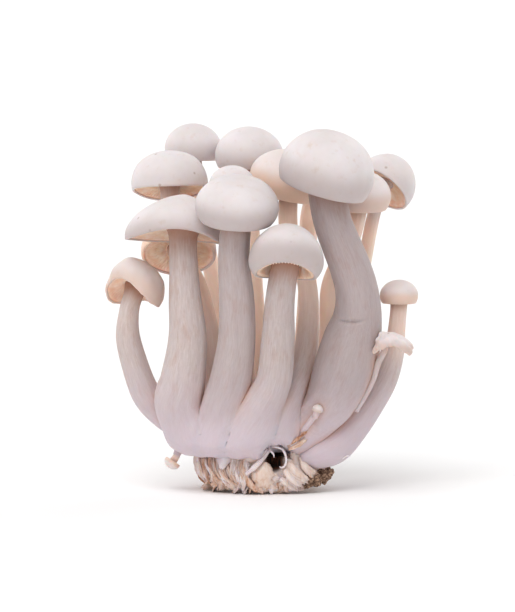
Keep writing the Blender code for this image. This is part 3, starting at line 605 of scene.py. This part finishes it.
def gill_rings(mushroom):
    """Rings of the gilled face from the stem out to the margin."""
    if not mushroom.gilled:
        return []
    lip_radius, lip_height = dome(mushroom, mushroom.curl)
    roof = ROOF_HEIGHT * mushroom.height
    inner = 1 - MARGIN_WIDTH * mushroom.radius / lip_radius
    first = GILLS_OFF_STEM * FLARE * mushroom.stem[-1][3] / lip_radius
    count = 2 * round(2 * math.pi * PITCH_AT * lip_radius / GILL_PITCH / 2)
    depth = SHALLOW.get(mushroom.name, 1) * GILL_DEPTH * mushroom.radius
    rings = []
    for share in np.linspace(first, inner, GILL_ROWS):
        height = lip_height + (roof - lip_height) * (1 - share ** 2) ** CAVITY_ROUNDNESS
        waved = WAVES_LEFT * sum(crest for _, crest, _ in mushroom.waves) * (1 - share ** 2)
        deepest = max(min(depth, HOLLOW_FILL * (height - lip_height) - waved), GILL_LEAST)
        hang = deepest * gill_blades((share - first) / (inner - first), count)
        blend = ease(share, BLEND_FROM * inner, inner)
        height += blend * (lip_height + MARGIN_RISE * mushroom.radius - height)
        rings.append(cap_ring(mushroom, share * lip_radius, height - hang, 4 * count))
    return rings


def skin_rings(mushroom, seed):
    """Rings from the margin's inner edge round its lip and over the skin to the apex."""
    lip_radius, lip_height = dome(mushroom, mushroom.curl)
    width, rise = MARGIN_WIDTH * mushroom.radius, MARGIN_RISE * mushroom.radius
    rings = []
    for share in LIP_SHARES:
        bulge = MARGIN_BULGE * mushroom.radius * math.sin(math.pi * share)
        height = lip_height + rise * (1 - share) - bulge
        rings.append(cap_ring(mushroom, lip_radius - width * (1 - share), height, SKIN_SIDES))
    for band in range(SKIN_ROWS):
        radius, height = dome(mushroom, mushroom.curl * (1 - band / SKIN_ROWS))
        rings.append(cap_ring(mushroom, radius, height, SKIN_SIDES))
    tall, size = LUMPY.get(mushroom.name, (LUMP_HEIGHT, LUMP_SIZE))
    for k, ring in enumerate(rings):
        out = tall * lumps(ring, size, seed) - LUMP_SINK
        rings[k] = ring + out[:, None] * (ring - np.array(mushroom.cap_at))
    rings.append(cap_ring(mushroom, 0, dome(mushroom, 0)[1] - LUMP_SINK * mushroom.radius, 1))
    return rings


def bridge(mesh, low, high, finish):
    """Faces between two rings of vertices, of which either may hold more, or be a single point."""
    i = j = 0
    while i < len(low) or j < len(high):
        step_low = (i + 1) * len(high) <= (j + 1) * len(low) and len(low) > 1
        step_high = (i + 1) * len(high) >= (j + 1) * len(low) and len(high) > 1
        corners = [low[i % len(low)]]
        if step_low:
            i += 1
            corners.append(low[i % len(low)])
        if step_high:
            corners.append(high[(j + 1) % len(high)])
        corners.append(high[j % len(high)])
        j += step_high
        face = mesh.faces.new(corners)
        face.material_index = finish
        face.smooth = True
        if len(low) == 1 and j == len(high) or len(high) == 1 and i == len(low):
            break


def loft(name, rings, finishes, values):
    """A closed mesh through rings of points in millimetres. Each band has a finish, each ring its values.

    A value that is the same all over may be a single number.
    """
    mesh = bmesh.new()
    rows = [[mesh.verts.new(point * MM) for point in ring] for ring in rings]
    for low, high, finish in zip(rows, rows[1:], finishes):
        bridge(mesh, low, high, finish)
    data = bpy.data.meshes.new(name)
    mesh.to_mesh(data)
    mesh.free()
    for key, column in values.items():
        if np.isscalar(column):
            column = [np.full(len(ring), float(column)) for ring in rings]
        kind = "FLOAT_VECTOR" if column[0].ndim == 2 else "FLOAT"
        attribute = data.attributes.new(key, kind, "POINT")
        flat = np.concatenate(column).ravel()
        attribute.data.foreach_set("vector" if kind == "FLOAT_VECTOR" else "value", flat)
    return data


def closeness(points, own_name):
    """How deep in the bunch each point is, from 0 in the open to 1 where another stem touches it: the mask of
    the painted orange tan shade.
    """
    deepest = np.zeros(len(points))
    for name in neighbours(own_name, points, TINT_WITHIN):
        other = nearest_rows(name, points)
        away = np.linalg.norm(points - other[:, :3], axis=1) - other[:, 3]
        deepest = np.maximum(deepest, np.exp(-np.maximum(away, 0) / CLOSE_FADE))
    return deepest * ease(points[:, 2] + CLOSE_TILT * np.maximum(points[:, 0], 0), *CLOSE_ABOVE)


def margin_share(mushroom, points):
    """How near the cap's margin each point of its skin is, from 0 to 1."""
    up = (points - np.array(mushroom.cap_at)) @ cap_axes(mushroom)[2]
    return 1 - ease(up, *(share * mushroom.height for share in MARGIN_BAND))


def shade(mushroom, points):
    """How close under the cap's margin each point of a stem is, from 0 to 1: the mask of the painted brown
    shade.
    """
    below = (np.array(mushroom.cap_at) - points) @ cap_axes(mushroom)[2] + dome(mushroom, mushroom.curl)[1]
    return 1 - ease(below, *(share * mushroom.radius for share in UNDER_BAND))


def shelter(mushroom, points):
    """How far back and inside the bunch each point is: 1 for the stems that the front row hides. It masks the
    painted warm glow.
    """
    if mushroom.name in LOOSE:
        return np.zeros(len(points))
    inside = ease(points[:, 1], *INSIDE_BEHIND) * (1 - ease(points[:, 2], *INSIDE_BELOW))
    edge = ease(np.abs(points[:, 0] - MIDDLE_X), *OUTER_EDGE) * ease(points[:, 2], *EDGE_ABOVE)
    middle = nearest_rows(mushroom.name, points)
    behind = ease((points[:, 1] - middle[:, 1]) / middle[:, 3], *STEM_BACK)
    return inside * (1 - edge) * ease(points[:, 2], *INSIDE_ABOVE) * (1 - BACK_LOSES * behind)


def build_mushroom(mushroom, seed, surfaces):
    """One mushroom as one skin: stem, gills, margin and dome, each with its own finish."""
    name = mushroom.name
    stem, grown = stem_skin(mushroom, seed)
    gills = gill_rings(mushroom)
    skin = skin_rings(mushroom, seed)
    cap = [pressed_cap(ring, name) for ring in gills + skin]
    rings = [stem[0].mean(axis=0)[None], *stem, *cap]
    finishes = [0] * len(stem) + [1] * (len(gills) + 1) + [2] * len(skin)
    values = {"grown": [grown[0].mean(axis=0)[None], *grown, *cap],
              "close": [], "hidden": [], "under": [], "rim": []}
    warm_cap, warm_stem = WARMER.get(name, (0, 0))
    for k, ring in enumerate(rings):
        on_stem = k <= len(stem)
        # Painted warm glow and painted grey shade: up a stem by its length and height, on a cap toward its
        # margin
        if on_stem:
            warm = warm_stem * ease(k / len(stem), *WARM_FROM)
            rim = GREY_SHADED_STEMS.get(name, 0) * ease(ring[:, 2], *GREY_ABOVE)
        else:
            near = margin_share(mushroom, ring)
            warm = warm_cap * (0.2 + 0.8 * near)
            rim = LESS_MARGIN_SHADE.get(name, 1) * near
        # Masks for painted shade, orange tan where stems touch and brown under the cap, and for the painted
        # warm glow
        pale = on_stem and name in PALE
        values["close"].append(closeness(ring, name) * (not pale))
        values["hidden"].append(np.maximum(shelter(mushroom, ring), warm))
        values["under"].append(shade(mushroom, ring) * (PALE_UNDER if pale else 1))
        values["rim"].append(rim)
    data = loft(name, rings, finishes, values)
    for surface in surfaces:
        data.materials.append(surface)
    keep(name, data, "white_flesh", "mushroom_" + name)


def foot_level(share):
    """The foot's middle x and y, and half its width and depth, at a share of its height."""
    levels = np.array(FOOT_LEVELS)
    return [np.interp(share, levels[:, 0], column) for column in levels.T[1:]]


def foot_side(angle, share, out=1.0):
    """The point on the foot's side at an angle and a share of its height, or further out by a factor."""
    x, y, width, depth = foot_level(share)
    x = x + out * width * np.cos(angle)
    y = y + out * depth * np.sin(angle)
    low = UNDERSIDE_RISE * ease(x, *RISE_BETWEEN)
    high = FOOT_RIM * (1 - RIM_DROP * ease(x, *DROP_BETWEEN))
    return np.array([x, y, low + share * (high - low)]).T


def fold(angle, height):
    """How far the folds stand out at each angle and height of the foot, in millimetres."""
    out = np.zeros(len(angle))
    for k, (across, up, depth) in enumerate(FOLDS):
        round_x, round_y = FOLD_RADIUS * np.cos(angle), FOLD_RADIUS * np.sin(angle)
        at = np.column_stack([round_x / across, round_y / across, height / up])
        out += depth * np.maximum(1 - 4 * np.abs(lumps(at, 1, 3 + k)), -1)
    return out


def foot_core():
    """The foot's body: folds all round, a hollow in front, a flat underside and a dished top."""
    around = turn(FOOT_SIDES)
    rings = []
    for share in np.linspace(0, 1, FOOT_ROWS):
        ring = foot_side(around, share)
        out = unit((ring - foot_side(around, share, 0)) * LEVEL)
        folds = fold(around + FOLD_LEAN * share, ring[:, 2]) * ease(share, *FOLDS_START)
        rings.append(ring + out * folds[:, None])
    bottom = [foot_side(around, 0, out) * LEVEL for out in (0.3, 0.7)]
    top = [foot_side(around, 1, out) * (1, 1, DISH_HEIGHT / FOOT_RIM) for out in (0.9, DISH_SHARE, 0.3)]
    rings = [*bottom, *rings, *top]
    for centre, size, inward in ((HOLLOW_AT, HOLLOW_SIZE, True), (SHOULDER_AT, SHOULDER_SIZE, False)):
        rings = [pushed(ring, np.array(centre), np.array(size), inward) for ring in rings]
    return rings


def pushed(points, centre, size, inward):
    """Move points out of an egg toward the back, or out to the egg's skin."""
    local = (points - centre) / size
    inside = (local ** 2).sum(axis=1) < 1
    across = np.clip(1 - local[:, 0] ** 2 - local[:, 2] ** 2, 0, 1)
    skin = centre[1] + size[1] * np.sqrt(across) * (1 if inward else -1)
    moved = points.copy()
    front = inside & (points[:, 1] < centre[1] + size[1])
    moved[front, 1] = np.maximum(points[front, 1], skin[front]) if inward else skin[front]
    return moved


def hollow_depth(points):
    """How deep in the hollow each point is, from 0 to 1: the mask of the hollow's painted shade."""
    local = (points - np.array(HOLLOW_AT)) / (HOLLOW_REACH * np.array(HOLLOW_SIZE))
    return 1 - ease((local[:, [0, 2]] ** 2).sum(axis=1), *HOLLOW_FADE)


def on_foot(x, z, lift):
    """The point on the foot's front at x and z, lifted off it, and the way it faces."""
    cx, cy, width, depth = foot_level(min(max(z / FOOT_RIM, 0), 1))
    across = min(max((x - cx) / width, -SIDE_MOST), SIDE_MOST)
    inward = math.sqrt(1 - across ** 2)
    face = unit((across / width, -inward / depth, 0))
    return np.array([x, cy - depth * inward, z]) + lift * face, face


def strip(placed, widths, cup, lean, seed):
    """Rings of a torn strip with a cupped section and ragged edges, and how near its edge each point is."""
    points, faces = (np.array(column) for column in zip(*placed))
    rows = smooth_path(np.column_stack([points, widths]), count=STRIP_ROWS)
    seen = smooth_path(faces, count=STRIP_ROWS)
    across = np.linspace(-1, 1, STRIP_SIDES)
    edge = np.abs(across) ** 3
    ragged = lumps(rows[:, :3], RAG_SIZE, seed)
    angle = math.radians(lean)
    rings = []
    for at, (row, tangent, face) in enumerate(zip(rows, np.gradient(rows[:, :3], axis=0), seen)):
        tangent = unit(tangent)
        side = unit(np.cross(face[:3], tangent))
        front = np.cross(tangent, side)
        side, front = (side * math.cos(angle) + front * math.sin(angle),
                       front * math.cos(angle) - side * math.sin(angle))
        half = 0.5 * row[3] * (1 + RAGGED * ragged[at])
        sheet = row[:3] + np.outer(across * half, side) + np.outer(cup * half * across ** 2, front)
        sheet += np.outer(RIPPLE * np.sin(5 * across + 7 * at / STRIP_ROWS + seed), front)
        body = np.outer(0.5 * STRIP_THICKNESS * np.sqrt(1 - 0.9 * across ** 2), front)
        rings.append(np.vstack([sheet - body, (sheet + body)[::-1]]))
        rings[-1][:, 2] = np.maximum(rings[-1][:, 2], STRIP_LOWEST)
    return rings, [np.ones(1), *[np.concatenate([edge, edge[::-1]])] * STRIP_ROWS, np.ones(1)]


def build_torn(name, rings, surface, tone, *nodes, edge=0, dark=0):
    """A closed piece of torn mycelium, with its tone, its torn edges and the painted shade of its depths."""
    rings = [rings[0].mean(axis=0)[None], *rings, rings[-1].mean(axis=0)[None]]
    data = loft(name, rings, [0] * (len(rings) - 1), {"tone": tone, "edge": edge, "dark": dark})
    data.materials.append(surface)
    keep(name, data, "torn_mycelium", *nodes)


def build_strip(name, look, placed, widths, seed, surface):
    """One torn strip, from its tone, cup and lean, its points with the ways they face, and its widths."""
    tone, cup, lean = look
    rings, edge = strip(placed, widths, cup, lean, seed)
    build_torn(name, rings, surface, tone, edge=edge)


def build_foot(surface):
    """The torn foot: its core, the strips in front and behind, and the curls at the hollow."""
    rings = foot_core()
    tone = [FOOT_TONE * (1 + lumps(ring * (1, 1, 0.4), TONE_SIZE, 9)) for ring in rings]
    dark = [hollow_depth(ring) for ring in rings]
    tone, dark = ([np.zeros(1), *column, np.zeros(1)] for column in (tone, dark))
    build_torn("torn_foot", rings, surface, tone, "foot", dark=dark)
    for seed, (name, (*look, rows)) in enumerate(STRIPS.items()):
        placed = [on_foot(x, z, lift) for x, z, lift, _ in rows]
        build_strip(name, look, placed, [row[3] for row in rows], seed, surface)
    draw = np.random.RandomState(4)
    for group, (count, across, tops, bottoms, wide, drifts) in FRONT_STRIPS.items():
        for k in range(count):
            x = across[0] + (across[1] - across[0]) * (k + draw.uniform(0, 1)) / count
            high, low, drift = draw.uniform(*tops), draw.uniform(*bottoms), draw.uniform(*drifts)
            lifts = (0.3, draw.uniform(0.7, 1.5), draw.uniform(0.8, 1.7), 0.8)
            placed = [on_foot(x + drift * part ** 1.6, high + (low - high) * part, lift)
                      for part, lift in zip((0, 0.35, 0.7, 1), lifts)]
            widths = draw.uniform(*wide) * np.array(FRONT_TAPER)
            look = [draw.uniform(*between) for between in FRONT_LOOK]
            build_strip(f"{group}_{k + 1:02d}", look, placed, widths, 100 + k, surface)
    for k in range(BACK_STRIPS):
        angle = math.radians(BACK_FROM + BACK_ROUND * (k + draw.uniform(0, 1)) / BACK_STRIPS)
        shares = np.array([0.92, 0.62, 0.32, draw.uniform(0.04, 0.14)])
        turns = angle + draw.uniform(-0.16, 0.22) * (1 - shares)
        lift = 1 + np.array([0.0, 0.03, 0.05, 0.02]) * draw.uniform(0.6, 1.4)
        faces = np.column_stack([np.cos(turns), np.sin(turns), 0 * turns])
        placed = list(zip(foot_side(turns, shares, lift), faces))
        widths = draw.uniform(*BACK_WIDTHS) * np.array(BACK_TAPER)
        look = [draw.uniform(*between) for between in BACK_LOOK]
        build_strip(f"side_strip_{k + 1:02d}", look, placed, widths, 40 + k, surface)
    for name, rows in CURLS.items():
        build_torn(name, curl(rows), surface, CURL_TONE)


def curl(rows):
    """Rings of a thin curled strip, flattened a little."""
    path = smooth_path(rows, count=CURL_ROWS)
    around = turn(CURL_SIDES)
    rings = []
    for row, tangent in zip(path, np.gradient(path[:, :3], axis=0)):
        side = unit(np.cross((0, -1, 0.2), unit(tangent)))
        front = np.cross(unit(tangent), side)
        circle = np.outer(0.7 * np.cos(around), side) + np.outer(1.2 * np.sin(around), front)
        rings.append(row[:3] + row[3] * circle)
    return rings


def build_crust(surface):
    """The crust: crumbs of dark sawdust, pressed together over the crust's lumps."""
    draw = np.random.RandomState(12)
    mesh = bmesh.new()
    for k in range(CRUMBS):
        x, y, z, radius = CRUST_LUMPS[k % len(CRUST_LUMPS)]
        centre, size, finer = np.array([x, y, z]), CORE * radius, 3
        if k >= len(CRUST_LUMPS):
            out = unit(draw.normal(size=3)) * (1, 1, 0.9)
            centre, size, finer = centre + CRUMBS_OUT * radius * out, draw.uniform(*CRUMB_SIZES), 2
        crumb = bmesh.ops.create_icosphere(mesh, subdivisions=finer, radius=1)
        stretch = draw.uniform(*CRUMB_STRETCH, 3)
        for vertex in crumb["verts"]:
            knobby = 1 + KNOB_HEIGHT * noise.noise(KNOBS_ACROSS * vertex.co + Vector((k, 0, 0)))
            point = centre + size * knobby * stretch * np.array(vertex.co)
            vertex.co = Vector(point) * MM
    data = bpy.data.meshes.new("crust_crumbs")
    mesh.to_mesh(data)
    mesh.free()
    data.materials.append(surface)
    keep("crust_crumbs", data, "dark_substrate", "substrate_crust")


def keep(name, data, slot, *nodes):
    """A piece of the bunch that stands for its CAD nodes."""
    piece = bpy.data.objects.new(name, data)
    bpy.context.scene.collection.objects.link(piece)
    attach(piece, "root")
    if nodes:
        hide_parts(*nodes)


def linear(hex_colour):
    """An sRGB hex colour as linear red, green, blue and alpha."""
    channels = [int(hex_colour[k:k + 2], 16) / 255 for k in (1, 3, 5)]
    return (*[c / 12.92 if c <= 0.04045 else ((c + 0.055) / 1.055) ** 2.4 for c in channels], 1)


def add(tree, kind, values=(), links=(), stops=(), **settings):
    """A node of the kind, with its settings, its sockets' values, its links, and a ramp's colour stops."""
    node = tree.nodes.new("ShaderNode" + kind)
    for key, value in settings.items():
        setattr(node, key, value)
    for key, value in dict(values).items():
        node.inputs[key].default_value = value
    for key, socket in dict(links).items():
        tree.links.new(socket, node.inputs[key])
    for _ in stops[2:]:
        node.color_ramp.elements.new(0.5)
    for k, (position, _) in enumerate(stops):
        node.color_ramp.elements[k].position = position
    for k, (_, hex_colour) in enumerate(stops):
        node.color_ramp.elements[k].color = linear(hex_colour)
    return node


def blank(name):
    """A material with one shader and the point in millimetres."""
    surface = bpy.data.materials.new(name)
    surface.use_nodes = True
    tree = surface.node_tree
    place = add(tree, "TexCoord")
    point = add(tree, "VectorMath", {"Scale": 1 / MM}, {0: place.outputs["Object"]}, operation="SCALE")
    return surface, tree, tree.nodes["Principled BSDF"], point.outputs[0]


def tinted(tree, colour, attribute, most, hex_colour):
    """The colour, turned toward another by at most a share, as far as the attribute says at each point."""
    where = add(tree, "Attribute", attribute_name=attribute).outputs["Fac"]
    share = add(tree, "Math", {1: most}, {0: where}, operation="MULTIPLY").outputs[0]
    return add(tree, "Mix", {7: linear(hex_colour)}, {0: share, 6: colour}, data_type="RGBA").outputs[2]


def finish(tree, shader, colour, roughness, height, relief):
    """Give the shader its colour and roughness, and a fine relief as strong as given."""
    tree.links.new(colour, shader.inputs["Base Color"])
    shader.inputs["Roughness"].default_value = roughness
    bump = add(tree, "Bump", {"Strength": relief, "Distance": RELIEF_HEIGHT}, {"Height": height})
    tree.links.new(bump.outputs[0], shader.inputs["Normal"])


def flesh(shader, depth=0.4):
    """The way light passes through pale mushroom flesh: a warm glow a few millimetres deep."""
    shader.inputs["IOR"].default_value = 1.36
    shader.inputs["Subsurface Weight"].default_value = depth
    shader.inputs["Subsurface Radius"].default_value = (1.0, 0.5, 0.3)
    shader.inputs["Subsurface Scale"].default_value = 1.6 * MM


def cap_skin():
    """White beech mushroom cap skin, grown: smooth, faintly waxy, with soft cream and pink-grey clouds,
    painted grey shade toward the margin and a painted warm glow where sheltered.
    """
    surface, tree, shader, point = blank("beech_mushroom_cap_skin")
    clouds = add(tree, "TexNoise", {"Scale": 0.09, "Detail": 3, "Roughness": 0.6}, {"Vector": point})
    tone = add(tree, "ValToRGB", (), {"Fac": clouds.outputs[0]},
               ((0.3, "#DAD1CF"), (0.52, "#E0D8D8"), (0.74, "#E6E0E1"))).outputs[0]
    blotch = add(tree, "TexNoise", {"Scale": 0.45, "Detail": 4, "Roughness": 0.6}, {"Vector": point})
    tan = add(tree, "ValToRGB", (), {"Fac": blotch.outputs[0]},
              ((0.58, "#FFFFFF"), (0.8, "#EFDFCF"))).outputs[0]
    blotched = add(tree, "Mix", {0: 0.55}, {6: tone, 7: tan}, data_type="RGBA", blend_type="MULTIPLY")
    specks = add(tree, "TexVoronoi", {"Scale": 0.16, "Randomness": 1.0}, {"Vector": point})
    size = add(tree, "MapRange", {"From Min": 0.085, "From Max": 0.04, "To Max": 0.55},
               {"Value": specks.outputs["Distance"]})
    brown = add(tree, "Mix", {7: linear("#9C7C68")}, {0: size.outputs[0], 6: blotched.outputs[2]},
                data_type="RGBA")
    # Painted shade: greyer toward the margin
    grey_shaded = tinted(tree, brown.outputs[2], "rim", 0.58, "#AF9E9B")
    # Painted warm light: a peach glow where the bunch shelters the cap
    warm = tinted(tree, grey_shaded, "hidden", 0.8, "#FAD6BC")
    grain = add(tree, "TexNoise", {"Scale": 1.6, "Detail": 4, "Roughness": 0.65}, {"Vector": point})
    finish(tree, shader, warm, 0.5, grain.outputs[0], 0.06)
    flesh(shader)
    return surface


def gill_flesh():
    """Gills, thin blades that light shines through: orange tan with pale clouds."""
    surface, tree, shader, point = blank("beech_mushroom_gills")
    clouds = add(tree, "TexNoise", {"Scale": 0.5, "Detail": 3}, {"Vector": point})
    tone = add(tree, "ValToRGB", (), {"Fac": clouds.outputs[0]}, ((0.35, "#F0C6AA"), (0.7, "#F8DFCE")))
    tree.links.new(tone.outputs[0], shader.inputs["Base Color"])
    shader.inputs["Roughness"].default_value = 0.6
    flesh(shader)
    return surface


def stem_flesh():
    """Stem, grown of lengthwise fibres: pale pinkish grey, with a painted warm glow in the shelter and
    painted shade: lilac at the foot, grey, brown under the cap, orange tan between stems.
    """
    surface, tree, shader, point = blank("beech_mushroom_stem_fibres")
    grown = add(tree, "Attribute", attribute_name="grown").outputs["Vector"]
    along = add(tree, "Mapping", {"Scale": (1, 1, 0.07)}, {"Vector": grown}).outputs[0]
    fibres = add(tree, "TexNoise", {"Scale": 3.2, "Detail": 6, "Roughness": 0.75}, {"Vector": along})
    pale = add(tree, "ValToRGB", (), {"Fac": fibres.outputs[0]},
               ((0.3, "#BDADA8"), (0.5, "#C9BBB8"), (0.68, "#D4C9C7"))).outputs[0]
    drawn = add(tree, "Mapping", {"Scale": (1, 1, 0.3)}, {"Vector": grown}).outputs[0]
    clouds = add(tree, "TexNoise", {"Scale": 0.5, "Detail": 5, "Roughness": 0.65}, {"Vector": drawn})
    tan = add(tree, "ValToRGB", (), {"Fac": clouds.outputs[0]},
              ((0.5, "#FFFFFF"), (0.66, "#F0DFD6"), (0.78, "#E2C8B8"))).outputs[0]
    mottled = add(tree, "Mix", {0: 0.6}, {6: pale, 7: tan}, data_type="RGBA", blend_type="MULTIPLY")
    height = add(tree, "SeparateXYZ", (), {0: point}).outputs[2]
    # Painted shade: cool lilac toward the foot
    foot = add(tree, "MapRange", {"From Min": 36, "From Max": 15, "To Max": 0.75}, {"Value": height})
    cool = add(tree, "Mix", {7: linear("#D3C4CE")}, {0: foot.outputs[0], 6: mottled.outputs[2]},
               data_type="RGBA")
    # Painted warm light: a peach glow where the bunch hides the stem
    warm = tinted(tree, cool.outputs[2], "hidden", 0.94, "#FFE4D2")
    # Painted shade: grey on the grey-shaded stems
    grey_shaded = tinted(tree, warm, "rim", 1, "#9E8F93")
    # Painted shade: brown close under the cap
    brown = tinted(tree, grey_shaded, "under", 0.95, "#9A6D55")
    # Painted shade: orange tan where the stem meets another
    crevice_shaded = tinted(tree, brown, "close", 0.55, "#DDA27C")
    finish(tree, shader, crevice_shaded, 0.62, fibres.outputs[0], 0.2)
    flesh(shader)
    return surface


def torn_mycelium():
    """Mycelium torn off its block: matt layers of fibres, lilac white to orange brown at the torn edges,
    painted near black as shade in the hollow.
    """
    surface, tree, shader, point = blank("torn_mycelium_layers")
    tone = add(tree, "Attribute", attribute_name="tone").outputs["Fac"]
    wisps = add(tree, "Mapping", {"Scale": (1, 1, 0.35)}, {"Vector": point}).outputs[0]
    grain = add(tree, "TexNoise", {"Scale": 0.9, "Detail": 5, "Roughness": 0.7}, {"Vector": wisps})
    fibres = add(tree, "TexNoise", {"Scale": 3.2, "Detail": 4, "Roughness": 0.7}, {"Vector": wisps})
    patchy = add(tree, "MapRange", {"From Min": 0.3, "From Max": 0.7, "To Min": -0.3, "To Max": 0.3},
                 {"Value": grain.outputs[0]})
    mixed = add(tree, "Math", (), {0: tone, 1: patchy.outputs[0]}, operation="ADD")
    colour = add(tree, "ValToRGB", (), {"Fac": mixed.outputs[0]}, (
        (0.0, "#F2E6EB"), (0.3, "#F3E2DB"), (0.6, "#EDD3C5"), (0.85, "#DCB299"), (1.0, "#B27F63")))
    edged = tinted(tree, colour.outputs[0], "edge", 0.4, "#B07A60")
    # Painted shade: near black in the foot's hollow
    dark = add(tree, "Attribute", attribute_name="dark").outputs["Fac"]
    hollow_shade_ramp = add(tree, "ValToRGB", (), {"Fac": grain.outputs[0]}, ((0.42, "#120906"), (0.62, "#5A3220")))
    deep = add(tree, "Mix", (), {0: dark, 6: edged, 7: hollow_shade_ramp.outputs[0]}, data_type="RGBA")
    finish(tree, shader, deep.outputs[2], 0.75, fibres.outputs[0], 0.5)
    flesh(shader, 0.2)
    return surface


def sawdust():
    """Damp sawdust substrate, pressed: crumbly, nearly black with rust-brown grains."""
    surface, tree, shader, point = blank("damp_sawdust_crumbs")
    grain = add(tree, "TexNoise", {"Scale": 1.3, "Detail": 5, "Roughness": 0.75}, {"Vector": point})
    colour = add(tree, "ValToRGB", (), {"Fac": grain.outputs[0]}, ((0.42, "#54392B"), (0.7, "#DDB698")))
    finish(tree, shader, colour.outputs[0], 0.9, grain.outputs[0], 0.8)
    return surface


def stage():
    """A pale floor, a soft light high in front, weaker ones low in front and behind, a pale surrounding."""
    bpy.ops.mesh.primitive_plane_add(size=8)
    floor = bpy.context.object
    floor.name = "floor"
    surface, tree, shader, point = blank("studio_floor")
    grain = add(tree, "TexNoise", {"Scale": 0.3, "Detail": 2}, {"Vector": point})
    bump = add(tree, "Bump", {"Strength": 0.02}, {"Height": grain.outputs[0]})
    tree.links.new(bump.outputs[0], shader.inputs["Normal"])
    shader.inputs["Base Color"].default_value = linear("#FAFAFA")
    shader.inputs["Roughness"].default_value = 0.9
    floor.data.materials.append(surface)
    world = bpy.data.worlds.new("studio")
    bpy.context.scene.world = world
    world.use_nodes = True
    sky = world.node_tree.nodes["Background"]
    sky.inputs["Color"].default_value = linear("#FBFAFA")
    sky.inputs["Strength"].default_value = SKY_POWER
    for name, toward, softness, power in LIGHTS:
        light = bpy.data.lights.new(name, "SUN")
        light.angle = math.radians(softness)
        light.energy = power
        lamp = bpy.data.objects.new(name, light)
        lamp.rotation_euler = Vector(toward).to_track_quat("-Z", "Y").to_euler()
        bpy.context.scene.collection.objects.link(lamp)
    bpy.context.scene.view_settings.view_transform = "Standard"


def camera():
    """The camera, level with the caps' lower half and far off, so that little grows with nearness."""
    lens = bpy.data.cameras.new("camera")
    lens.sensor_width = SENSOR
    lens.lens = SENSOR * CAMERA_AWAY / VIEW_HEIGHT
    lens.clip_end = 20
    eye = bpy.data.objects.new("camera", lens)
    above = math.radians(CAMERA_ABOVE)
    back = Vector((0, -math.cos(above), math.sin(above)))
    eye.location = (Vector(CAMERA_AT) + CAMERA_AWAY * back) * MM
    eye.rotation_euler = (math.pi / 2 - above, 0, 0)
    bpy.context.scene.collection.objects.link(eye)
    bpy.context.scene.camera = eye


def main():
    """Build the whole bunch on its pale floor."""
    camera()
    stage()
    surfaces = stem_flesh(), gill_flesh(), cap_skin()
    for seed, mushroom in enumerate(MUSHROOMS):
        build_mushroom(mushroom, seed, surfaces)
    build_foot(torn_mycelium())
    build_crust(sawdust())


main()
